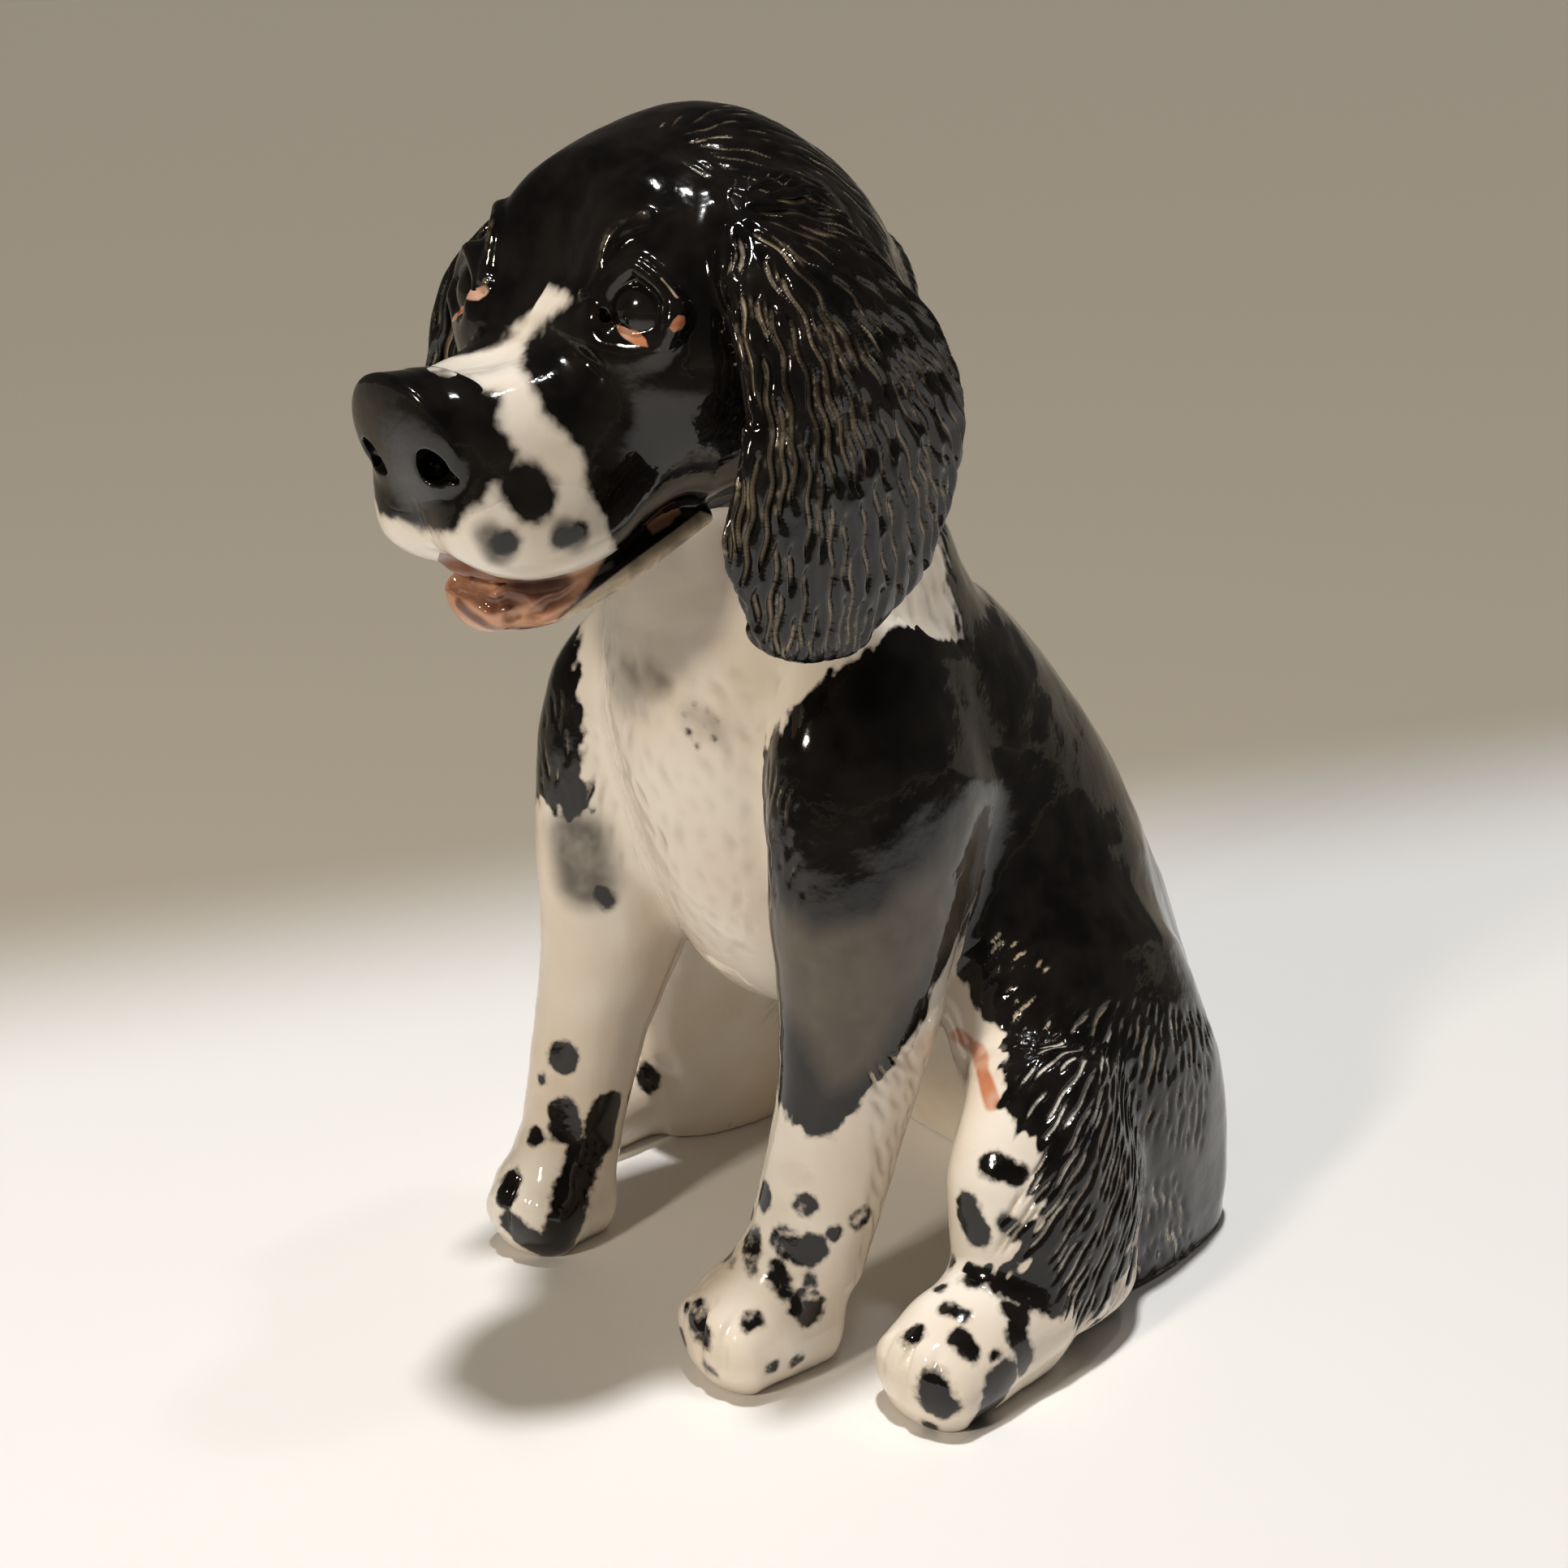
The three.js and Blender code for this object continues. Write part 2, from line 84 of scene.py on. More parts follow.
FORELEG = UPPER_LEG + [(27, -25, 34, 9, 9.5, 11), (25.5, -30.5, 16, 8.5, 9, 10)]
FOREPAW = [(25, -30, 8, 8.5, 8.5, 10), (23.5, -37.5, 8, 10, 9, 10), (22.5, -44, 6.5, 9.5, 7, 9)]
RIGHT_FORELEG = UPPER_LEG + [(29.5, -25, 34, 8.5, 9, 10), (29.5, -30, 16, 7.5, 8.5, 8.5)]
RIGHT_FOREPAW = [(29, -29, 8, 8, 8, 10), (29, -35.5, 8, 9, 8.5, 10), (28, -40, 6.5, 8.5, 6.5, 9)]
HAUNCH = [
    (25, 22, 62, 10, 14, 20), (31, 18, 48, 15, 20, 26), (39, 17, 30, 13, 21, 28), (42, 19, 12, 9.5, 19, 28),
    (42.5, 19, -2, 7.5, 17, 27),
]
SHANK = [(44, 0, 40, 10, 10, 14), (48, -4, 26, 11, 16, 19), (49.5, -6, 10, 10.5, 14, 19)]
HINDPAW = [(50, -12, 8, 9, 9, 10), (50.5, -23, 8, 9.5, 9, 10), (50.5, -31, 6.5, 9, 7, 9)]
HIND_SETBACK = 18  # of the right leg
TAIL = [(0, 62, 12, 8, 8, 8), (-5, 73, 8, 6.5, 6.5, 6.5), (-13, 78, 5.5, 5, 4.5, 4.5)]

EYE = np.array((16.5, -44.5, 153.55))
EYE_RADIUS = 4.8
EYE_TURN = math.radians(20)
EYE_LOOK = np.array((math.sin(EYE_TURN), -math.cos(EYE_TURN), 0))
EYE_ASIDE = np.array((math.cos(EYE_TURN), math.sin(EYE_TURN), 0))
LID_REACH = 0.8
LID_SPAN = math.radians(75)
LID_DROOP = 0.8
LID_PEAK = 1.5  # how far the upper lid is pinched up in the middle
UPPER_LID_RADIUS, UPPER_LID_STEP = 1.0, 2.7
LOWER_LID_RADIUS, LOWER_LID_STEP = 0.95, 3.6
VENT_RADIUS = 5

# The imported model's origin is the middle of its footprint; this carries the dog's frame onto it.
EYE_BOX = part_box("left_eyeball")
ORIGIN = np.array((EYE_BOX[0] + EYE_BOX[1]) / 2) / MM - EYE

# Camera fitted to the photograph, whose pixel frame is PHOTO wide and high
PHOTO = 1932
FOCAL = 3000
AZIMUTH = math.radians(46.98)
ELEVATION = math.radians(18.34)
ROLL = math.radians(-1.72)
CAMERA = np.array((256.74, -247.47, 193.54))
SIGHT_DISTANCES = np.linspace(260, 480, 56)  # from the camera to the near and far ends of the dog


def camera_axes():
    sa, ca, se, ce = math.sin(AZIMUTH), math.cos(AZIMUTH), math.sin(ELEVATION), math.cos(ELEVATION)
    back = np.array((sa * ce, -ca * ce, se))
    right = np.array((ca, sa, 0.0))
    up = np.cross(back, right)
    cr, sr = math.cos(ROLL), math.sin(ROLL)
    return cr * right + sr * up, cr * up - sr * right, back


RIGHT, UP, BACK = camera_axes()


def project(points):
    """Pixel of each point in the photograph."""
    rel = np.asarray(points) - CAMERA
    depth = -rel @ BACK
    return np.stack((PHOTO / 2 + FOCAL * (rel @ RIGHT) / depth, PHOTO / 2 - FOCAL * (rel @ UP) / depth), -1)


def node_tree(name):
    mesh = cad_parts[name].data
    corners = [Vector(np.array(v.co) / MM - ORIGIN) for v in mesh.vertices]
    return BVHTree.FromPolygons(corners, [list(p.vertices) for p in mesh.polygons])


TREES = {name: node_tree(name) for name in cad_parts}


def on_node(pixel, names=None):
    """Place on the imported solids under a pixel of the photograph, or nearest to its line of sight."""
    u, v = pixel
    sight = Vector(RIGHT * (u - PHOTO / 2) - UP * (v - PHOTO / 2) - BACK * FOCAL).normalized()
    eye = Vector(CAMERA)
    trees = [TREES[name] for name in names or TREES]
    hits = [hit for hit in (tree.ray_cast(eye, sight) for tree in trees) if hit[0]]
    if not hits:
        along = [eye + sight * distance for distance in SIGHT_DISTANCES]
        hits = [tree.find_nearest(place) for tree in trees for place in along]
    spot, normal, _, _ = min(hits, key=lambda hit: hit[3])
    return np.array(spot), np.array(normal)


# Clay: smooth lofts, their distance fields and the way fields are joined


def lengths(rows):
    return np.linalg.norm(rows, axis=1, keepdims=True)


def spline(points, t):
    """Centripetal Catmull-Rom curve through points, at parameters t from 0 to 1."""
    points = np.asarray(points, float)
    ends = (2 * points[0] - points[1], 2 * points[-1] - points[-2])
    row = np.vstack((ends[0], points, ends[1]))
    place = np.asarray(t) * (len(points) - 1)
    i = np.minimum(place.astype(int), len(points) - 2)
    w = (place - i)[:, None]
    p0, p1, p2, p3 = row[i], row[i + 1], row[i + 2], row[i + 3]
    steps = [np.sqrt(lengths(b - a)) for a, b in ((p0, p1), (p1, p2), (p2, p3))]
    d1 = np.where(steps[1] < 1e-4, 1, steps[1])
    d0 = np.where(steps[0] < 1e-4, d1, steps[0])
    d2 = np.where(steps[2] < 1e-4, d1, steps[2])
    t1 = ((p1 - p0) / d0 - (p2 - p0) / (d0 + d1) + (p2 - p1) / d1) * d1
    t2 = ((p2 - p1) / d1 - (p3 - p1) / (d1 + d2) + (p3 - p2) / d2) * d1
    return p1 + t1 * w + (3 * (p2 - p1) - 2 * t1 - t2) * w**2 + (2 * (p1 - p2) + t1 + t2) * w**3


def loft(stations, domes, lateral=(1, 0, 0), rings=120, sides=144, dome_rings=24):
    """Skin through oval stations, as vertices, quads and the triangles at its two poles."""
    stations = np.asarray(stations, float)
    lateral = np.asarray(lateral, float)
    rise = np.linspace(0, math.pi / 2, dome_rings + 1)[1:-1]
    t = np.r_[np.zeros(dome_rings - 1), np.linspace(0, 1, rings), np.ones(dome_rings - 1)]
    shrink = np.r_[np.cos(rise[::-1]), np.ones(rings), np.cos(rise)]
    advance = np.r_[-domes[0] * np.sin(rise[::-1]), np.zeros(rings), domes[1] * np.sin(rise)]
    spine = stations[:, :3]
    nudge = 1e-4
    tangent = spline(spine, np.minimum(t + nudge, 1)) - spline(spine, np.maximum(t - nudge, 0))
    tangent /= lengths(tangent)
    u = lateral - tangent * (tangent @ lateral)[:, None]
    u /= lengths(u)
    v = np.cross(tangent, u)
    centre = spline(spine, t) + tangent * advance[:, None]
    girth = spline(stations[:, 3:], t) * shrink[:, None]
    angle = np.linspace(0, math.tau, sides, endpoint=False)
    lift = np.where(np.sin(angle) > 0, girth[:, 1:2], girth[:, 2:3]) * np.sin(angle)
    across = girth[:, :1] * np.cos(angle)
    skin = centre[:, None] + u[:, None] * across[..., None] + v[:, None] * lift[..., None]
    ends = spline(spine, np.array((0.0, 1.0))) + np.array((-domes[0], domes[1]))[:, None] * tangent[[0, -1]]
    vertices = np.vstack((skin.reshape(-1, 3), ends))
    ring = np.arange(len(t) - 1)[:, None] * sides
    k, after = np.arange(sides), (np.arange(sides) + 1) % sides
    quads = np.stack((ring + k, ring + after, ring + sides + after, ring + sides + k), -1).reshape(-1, 4)
    pole, last = len(vertices) - 2, (len(t) - 1) * sides
    caps = np.vstack((
        np.stack((np.full(sides, pole), after, k), -1),
        np.stack((np.full(sides, pole + 1), last + k, last + after), -1),
    ))
    return vertices, quads, caps


def ellipsoid(centre, radii):
    x, y, z = centre
    a, b, c = radii
    return loft([(x, y - 0.01, z, a, c, c), (x, y + 0.01, z, a, c, c)], (b, b), rings=2, dome_rings=48)


def lid(lift, step, radius):
    """Coil bent round the eyeball, over it (lift = 1) or under it (lift = -1)."""
    reach = EYE_RADIUS + LID_REACH
    row = []
    for angle in np.linspace(-LID_SPAN, LID_SPAN, 9):
        p = EYE + EYE_LOOK * step + EYE_ASIDE * reach * math.sin(angle)
        rise = reach * LID_DROOP * math.cos(angle)
        if lift > 0:
            rise += LID_PEAK * (1 - abs(angle) / LID_SPAN) ** 2
        p = p + np.array((0, 0, lift * rise))
        row.append((*p, radius, radius, radius))
    return loft(row, (radius, radius), EYE_LOOK, rings=60, sides=40, dome_rings=8)


def set_back(stations):
    return [(x, y + HIND_SETBACK, *rest) for x, y, *rest in stations]


def mirrored(skin):
    vertices, quads, caps = skin
    return vertices * MIRROR, quads, caps


# Each form with the fineness of its field, and the radius that its joint with what it sits on is wiped to
FINE, COARSE = 0.4, 0.8
FORMS = {}


def add_form(name, skin, wipe, fineness=COARSE):
    FORMS[name] = {"skin": skin, "wipe": wipe, "fineness": fineness}


def add_pair(name, skin, wipe, fineness=COARSE, right=None):
    add_form(f"left_{name}", skin, wipe, fineness)
    add_form(f"right_{name}", mirrored(right or skin), wipe, fineness)


add_form("torso", loft(TORSO, (6, 4), rings=200, sides=240), 0)
add_form("head", loft(HEAD, (7, 3), rings=200, sides=240), 5)
add_pair("haunch", loft(HAUNCH, (6, 4)), 7)
add_pair("foreleg", loft(FORELEG, (6, 5)), 3.5, right=loft(RIGHT_FORELEG, (6, 5)))
add_pair("shank", loft(SHANK, (5, 8)), 4, right=loft(set_back(SHANK), (5, 8)))
add_pair("forepaw", loft(FOREPAW, (4, 5)), 5, right=loft(RIGHT_FOREPAW, (4, 5)))
add_pair("hindpaw", loft(HINDPAW, (4, 5)), 4, right=loft(set_back(HINDPAW), (4, 5)))
add_form("tail", loft(TAIL, (4, 4)), 3)
add_pair("flew", ellipsoid(FLEW_CENTRE, FLEW_RADII), 8, FINE)
add_form("nose", loft(NOSE, (0.01, 2.5)), 1.5, FINE)
add_form("lower_jaw", loft(JAW, (3, 4)), 1.2, FINE)
add_form("tongue", loft(TONGUE, (3, 3)), 1, FINE)
add_pair("upper_eyelid", lid(1, UPPER_LID_STEP, UPPER_LID_RADIUS), 3.2, FINE)
add_pair("lower_eyelid", lid(-1, LOWER_LID_STEP, LOWER_LID_RADIUS), 3.2, FINE)
add_pair("eyeball", ellipsoid(EYE, (EYE_RADIUS,) * 3), 0.2, FINE)
add_pair("ear", loft(EAR, (4, 5), (0, 1, 0)), 1, FINE)

LEAST_BAND = 10  # voxels on either side of a skin where distances are true


def field(form):
    """Signed distance to a form's skin, on a grid of its own."""
    vertices, quads, caps = form["skin"]
    voxel = form["fineness"]
    band = max(LEAST_BAND, math.ceil(form["wipe"] / voxel) + 2)
    grid = openvdb.FloatGrid.createLevelSetFromPolygons(
        vertices.astype(np.float32),
        triangles=caps.astype(np.uint32),
        quads=quads.astype(np.uint32),
        transform=openvdb.createLinearTransform(voxelSize=voxel),
        halfWidth=band,
    )
    first = np.floor(vertices.min(0) / voxel).astype(int) - band - 2
    last = np.ceil(vertices.max(0) / voxel).astype(int) + band + 2
    values = np.empty(last - first + 1, np.float32)
    grid.copyToArray(values, ijk=tuple(int(i) for i in first))
    return {"values": values, "low": first * voxel, "high": last * voxel, "voxel": voxel}


def sample(source, axes):
    """A field resampled, by cubic steps, at the crossings of three rows of coordinates."""
    values = source["values"]
    for k, row in enumerate(axes):
        place = np.clip((row - source["low"][k]) / source["voxel"], 1, values.shape[k] - 2.001)
        i = place.astype(int)
        w = (place - i).astype(np.float32).reshape([-1 if j == k else 1 for j in range(3)])
        a, b, c, d = (np.take(values, i + step, axis=k) for step in (-1, 0, 1, 2))
        values = b + 0.5 * w * (c - a + w * (2 * a - 5 * b + 4 * c - d + w * (3 * (b - c) + d - a)))
    return values


def smooth_min(a, b, radius):
    """Union of two fields, wiped smooth where they meet."""
    near = np.clip(1 - np.abs(a - b) / radius, 0, None)
    return np.minimum(a, b) - near * near * radius / 4


def smooth_step(low, high, value):
    t = np.clip((value - low) / (high - low), 0, 1)
    return t * t * (3 - 2 * t)


FIELDS = {name: field(form) for name, form in FORMS.items()}

# Coils added to the clay and tools pressed into it: (path, radius at each end, blend, pressed in).
# The bare head is worked first, and everything else once all the pieces are on.
HEAD_TOOLING = []
TOOLING = []


def tool(path, radii, blend, pressed=True, both=True, work=TOOLING):
    path = np.asarray(path, float)
    work.append((path, radii, blend, pressed))
    if both:
        work.append((path * MIRROR, radii, blend, pressed))


def traced(pixels, nodes=None, sink=0):
    """Path over the clay through pixels of the photograph, sunk below its face (or raised, if negative)."""
    hits = [on_node(pixel, nodes) for pixel in pixels]
    return [spot - normal * sink for spot, normal in hits]


# Paths of the tools that worked the face, in pixels of the photograph
BROW_CREST = [(719, 363), (730, 360), (740, 346), (745, 328), (750, 308), (757, 292), (767, 283), (795, 272)]
EYE_CORNER = [(734, 372), (744, 384), (752, 398)]
TEAR_CREASE = [(735, 372), (744, 392), (762, 404)]
NOSTRIL = (537, 573)
WING_SLIT = [(552, 586), (572, 592), (590, 588)]
TONGUE_FOLD = [(556, 712), (568, 723), (582, 729), (596, 741), (608, 745)]
LIP_FOLDS = [
    [(640, 744), (628, 738), (614, 743), (600, 748)], [(664, 756), (676, 745), (692, 740), (716, 720)],
    [(590, 716), (604, 722), (622, 716)], [(632, 762), (646, 757), (662, 760)],
]
MUZZLE = ["head", "nose", "left_flew"]

# Paths in the dog's middle plane
STOP_HOLLOW = [(0, -61, 158), (0, -57, 163), (0, -54, 170)]
PHILTRUM = [(0, -77, 142), (0, -74.5, 134), (0, -71.5, 129.5)]
LIP_PARTING = [(0, -72, 130), (0, -69, 121)]
VENT = [(0, 46, -9), (0, 46, 12)]
NOSTRIL_START, NOSTRIL_DEPTH = 0.5, 4

# Cuts between toes: places across the paw, spread at both ends, reach past its last station, and heights
TOE_CUTS = (-0.5, 0, 0.5)
TOE_SPREAD = (1.1, 0.95)
TOE_AHEAD = (5.8, 5, 1.5)
TOE_FOOT, TOE_BEND, TOE_TOP = 1.5, 3, 6.8


def nostril_path():
    spot, normal = on_node(NOSTRIL, MUZZLE)
    return [spot + NOSTRIL_START * normal, spot - NOSTRIL_DEPTH * normal]


def face_tooling():
    tool(STOP_HOLLOW, (11, 11), 5, both=False, work=HEAD_TOOLING)
    tool(traced(EYE_CORNER, ["head"], -0.4), (1.5, 2.0), 2.0, work=HEAD_TOOLING)
    tool(traced(BROW_CREST, ["head"], -0.4), (0.7, 1.2), 1.0, pressed=False)
    tool(traced(TEAR_CREASE, ["head"], 0.1), (0.5, 0.5), 0.7)
    tool(nostril_path(), (2.6, 1.6), 0.6)
    tool(traced(WING_SLIT, MUZZLE, 0.1), (0.8, 0.4), 0.5)
    tool(traced(TONGUE_FOLD, ["lower_jaw", "tongue"]), (1.4, 0.6), 0.8, both=False)
    for fold in LIP_FOLDS:
        tool(traced(fold, ["lower_jaw"]), (1.1, 0.4), 0.8, both=False)
    tool(PHILTRUM, (0.4, 0.6), 0.8, both=False)
    tool(LIP_PARTING, (0.8, 1.3), 1.0, both=False)


def toe_tooling(stations):
    x, y, z, half, _, _ = stations[-1]
    start, bend, end = (y - ahead for ahead in TOE_AHEAD)
    for share in TOE_CUTS:
        low = (x + share * half * TOE_SPREAD[0], start, TOE_FOOT)
        high = (x + share * half * TOE_SPREAD[1], end, z + TOE_TOP)
        middle = ((low[0] + high[0]) / 2, bend, z + TOE_BEND)
        tool([low, middle, high], (0.8, 0.3), 1.0, both=False)


def on_right(stations):
    return [(-x, *rest) for x, *rest in stations]


face_tooling()
toe_tooling(FOREPAW)
toe_tooling(on_right(RIGHT_FOREPAW))
toe_tooling(HINDPAW)
toe_tooling(on_right(set_back(HINDPAW)))
tool(VENT, (VENT_RADIUS, VENT_RADIUS), 0.6, both=False)


TINY = 1e-9


def path_distance(points, path, radii=(0, 0)):
    """Distance to a path, or to the face of a coil along it that tapers evenly between two radii."""
    nearest = np.inf
    ends = list(zip(path, np.linspace(*radii, len(path))))
    for (a, start), (b, end) in zip(ends, ends[1:] or ends):
        along = b - a
        t = np.clip((points - a) @ along / max(along @ along, TINY), 0, 1)
        gap = np.linalg.norm(points - a - t[..., None] * along, axis=-1)
        nearest = np.minimum(nearest, gap - start - (end - start) * t)
    return nearest


def apply_tooling(clay, axes, work):
    for path, radii, blend, pressed in work:
        margin = max(radii) + blend + 1
        ends = zip(axes, path.min(0) - margin, path.max(0) + margin)
        window = tuple(slice(*np.searchsorted(row, (low, high))) for row, low, high in ends)
        part = clay[window]
        if part.size:
            rows = (row[span] for row, span in zip(axes, window))
            d = path_distance(np.stack(np.meshgrid(*rows, indexing="ij"), -1), path, radii)
            clay[window] = -smooth_min(-part, d, blend) if pressed else smooth_min(part, d, blend)


# Fineness of each piece's own clay, and how far it runs under its neighbour
VOXEL = {
    "torso": 0.6, "head": 0.44, "haunch": 0.52, "foreleg": 0.44, "shank": 0.3, "forepaw": 0.36,
    "hindpaw": 0.36, "tail": 0.45, "flew": 0.3, "nose": 0.26, "lower_jaw": 0.3, "tongue": 0.28,
    "upper_eyelid": 0.18, "lower_eyelid": 0.16, "eyeball": 0.22, "ear": 0.26,
}
UNDERLAP = 1.2
DIP = 0.4
MARGIN = 2.5
CLAY_BAND = 3  # voxels kept on either side of the finished skin
EAR_WIPE, EAR_ROOT_WIPE = 0.5, 3.5  # along an ear, and what its root adds between two heights
EAR_ROOT = (148, 164)


def kind(name):
    return name.removeprefix("left_").removeprefix("right_")


def piece_skin(name):
    """Closed skin of one piece: the shared clay surface over the part of it that the piece owns."""
    voxel = VOXEL[kind(name)] * QUICK
    skin = FORMS[name]["skin"][0]
    axes = [np.arange(row.min() - MARGIN, row.max() + MARGIN, voxel) for row in skin.T]
    band = CLAY_BAND * voxel
    axes[2] = np.arange(max(axes[2][0], -band), axes[2][-1], voxel)
    clay, own, others = None, None, None
    for other, form in FORMS.items():
        source = FIELDS[other]
        if any(row[-1] < source["low"][k] or row[0] > source["high"][k] for k, row in enumerate(axes)):
            continue
        d = sample(source, axes)
        wipe = form["wipe"]
        if kind(other) == "ear":
            wipe = (EAR_WIPE + EAR_ROOT_WIPE * smooth_step(*EAR_ROOT, axes[2])).astype(np.float32)
        clay = d if clay is None else smooth_min(clay, d, wipe)
        if other == "head":
            apply_tooling(clay, axes, HEAD_TOOLING)
        if other == name:
            own = d
        else:
            others = d if others is None else np.minimum(others, d)
    apply_tooling(clay, axes, TOOLING)
    cell = (own - others) / 2
    clay = clay + DIP * smooth_step(0, UNDERLAP, cell)
    body = np.maximum(np.maximum(clay, cell - UNDERLAP), -axes[2].astype(np.float32))
    grid = openvdb.FloatGrid(band)
    grid.transform = openvdb.createLinearTransform(voxelSize=voxel)
    grid.copyFromArray(np.clip(body, -band, band).astype(np.float32))
    points, quads = grid.convertToQuads(isovalue=0.0)
    return points + np.array([row[0] for row in axes]), quads.astype(np.int64)


SHRINK, SWELL = 0.5, -0.52
RELAX_ROUNDS = 3


def edges(quads):
    """First and second corner of every face's four edges."""
    return np.vstack([quads[:, [k, (k + 1) % 4]] for k in range(4)]).T


def gather(index, values, size):
    """Sum of the rows of values that belong to each of size points."""
    return np.stack([np.bincount(index, column, size) for column in values.T], -1)


def relax(points, quads):
    """Evens out the mesh, alternately shrinking and swelling it so that it keeps its size."""
    size = len(points)
    start, end = edges(quads)
    count = np.bincount(start, minlength=size) + np.bincount(end, minlength=size)
    for step in (SHRINK, SWELL) * RELAX_ROUNDS:
        total = gather(start, points[end], size) + gather(end, points[start], size)
        points = points + step * (total / count[:, None] - points)
    return points


def normals_of(points, quads):
    corners = points[quads]
    face = np.cross(corners[:, 2] - corners[:, 0], corners[:, 3] - corners[:, 1])
    total = sum(gather(quads[:, c], face, len(points)) for c in range(4))
    return total / np.maximum(lengths(total), 1e-12)


SKINS = {}
for name in FORMS:
    points, quads = piece_skin(name)
    SKINS[name] = (relax(points, quads), quads)


def noise(points, scale, seed):
    """Smooth gradient noise, about -1 to 1, whose features are some scale millimetres across."""
    rng = np.random.default_rng(seed)
    table = rng.permutation(256)
    slopes = rng.normal(size=(256, 3))
    slopes /= lengths(slopes)
    place = points / scale
    cell = np.floor(place).astype(int)
    part = place - cell
    ease = part**3 * (part * (part * 6 - 15) + 10)
    total = np.zeros(len(points))
    for corner in itertools.product((0, 1), repeat=3):
        i, j, k = (cell + corner).T & 255
        slope = slopes[table[(table[(table[i] + j) & 255] + k) & 255]]
        weight = np.where(corner, ease, 1 - ease).prod(axis=1)
        total += weight * ((part - corner) * slope).sum(axis=1)
    return 1.6 * total


def to_left(points, name):
    """Where points of the right side would lie on the left side, which the photograph shows."""
    moved = points * np.where(points[:, :1] < 0, MIRROR, 1)
    if name in ("right_shank", "right_hindpaw"):
        moved = moved - (0, HIND_SETBACK, 0)
    return moved


PIXELS_PER_MM = 8.8  # scale of the dog in the photograph, near enough for hair and brushwork


def depth_inside(pixels, outline):
    """How many millimetres each pixel lies inside a closed outline drawn on the photograph."""
    outline = np.array(outline + outline[:1], float)
    inside = np.zeros(len(pixels), bool)
    u, v = pixels.T
    for a, b in zip(outline, outline[1:]):
        slope = (b[0] - a[0]) / (b[1] - a[1] or TINY)
        inside ^= ((a[1] > v) != (b[1] > v)) & (u < a[0] + slope * (v - a[1]))
    return np.where(inside, 1, -1) * path_distance(pixels, outline) / PIXELS_PER_MM


# Hair combed into the soft clay. It grows away from a root, inside an outline drawn on the photograph.
SKULL_HAIR = [
    (800, 150), (900, 120), (1000, 150), (1180, 350), (1100, 420), (960, 290), (880, 260), (830, 190),
]
SHANK_HAIR = [
    (1240, 1363), (1289, 1428), (1255, 1465), (1235, 1500), (1215, 1545), (1290, 1560), (1305, 1620),
    (1313, 1665), (1366, 1640), (1430, 1570), (1480, 1400), (1440, 1260), (1300, 1240),
]
KNEE_HAIR = [(1222, 1300), (1330, 1225), (1500, 1240), (1480, 1420), (1240, 1390)]
THIGH_HAIR = [(1170, 1170), (1240, 1130), (1310, 1190), (1265, 1285), (1200, 1250)]
SHOULDER_HAIR = [(912, 930), (985, 930), (990, 1130), (925, 1150)]
HEEL_HAIR = [(1385, 1470), (1448, 1440), (1475, 1540), (1440, 1590), (1390, 1590)]
FEATHERING = [
    (1065, 1300), (1140, 1280), (1150, 1360), (1120, 1450), (1090, 1580), (1050, 1580), (1075, 1440),
]
CHEST_HAIR = [(715, 790), (970, 830), (930, 960), (930, 1190), (800, 1140), (735, 1050), (705, 850)]
NAPE_HAIR = [(1080, 620), (1160, 620), (1195, 800), (1080, 800)]

# Lengths and how bare a line is scraped are ranges; with no outline the whole piece is combed
Hair = namedtuple("Hair", "piece root spacing length width depth sway bare within")
HAIR = [
    Hair("ear", (26, -37, 170), 1.5, (12, 34), 0.55, 1.25, 0.25, (0.35, 0.78), None),
    Hair("head", (10, -38, 176), 1.4, (8, 22), 0.4, 0.2, 0.2, (0.1, 0.6), SKULL_HAIR),
    Hair("shank", (48, 38, 64), 1.25, (9, 24), 0.45, 0.6, 0.15, (0.82, 1.1), SHANK_HAIR),
    Hair("haunch", (46, 36, 66), 1.4, (5, 14), 0.48, 0.5, 0.25, (0.5, 0.95), KNEE_HAIR),
    Hair("haunch", (48, 40, 80), 1.5, (4, 10), 0.5, 0.4, 0.2, (0.4, 0.9), THIGH_HAIR),
    Hair("haunch", (46, 8, 60), 1.5, (4, 10), 0.6, 0.5, 0.3, (0.7, 1), HEEL_HAIR),
    Hair("foreleg", (30, -10, 105), 1.8, (4, 9), 0.45, 0.35, 0.2, (0.2, 0.7), SHOULDER_HAIR),
    Hair("foreleg", (27, -40, 70), 1.8, (4, 9), 0.6, 0.5, 0.2, (0.3, 0.9), FEATHERING),
    Hair("torso", (0, -45, 170), 2.6, (2, 6), 0.9, 0.28, 0.6, (0.2, 0.5), CHEST_HAIR),
    Hair("torso", (10, -20, 170), 2.2, (6, 14), 0.7, 0.35, 0.3, (0.2, 0.5), NAPE_HAIR),
]
HAIR_STEP = 0.5
HAIR_WAVE = 7.0
HAIR_TRIES = 12000
STRAND_GAP = 0.62  # share of the spacing that a strand keeps free once it has started
SHORTEST_STRAND = 0.6  # share of the least length
TAPER_IN, TAPER_OUT = 5, 6  # steps


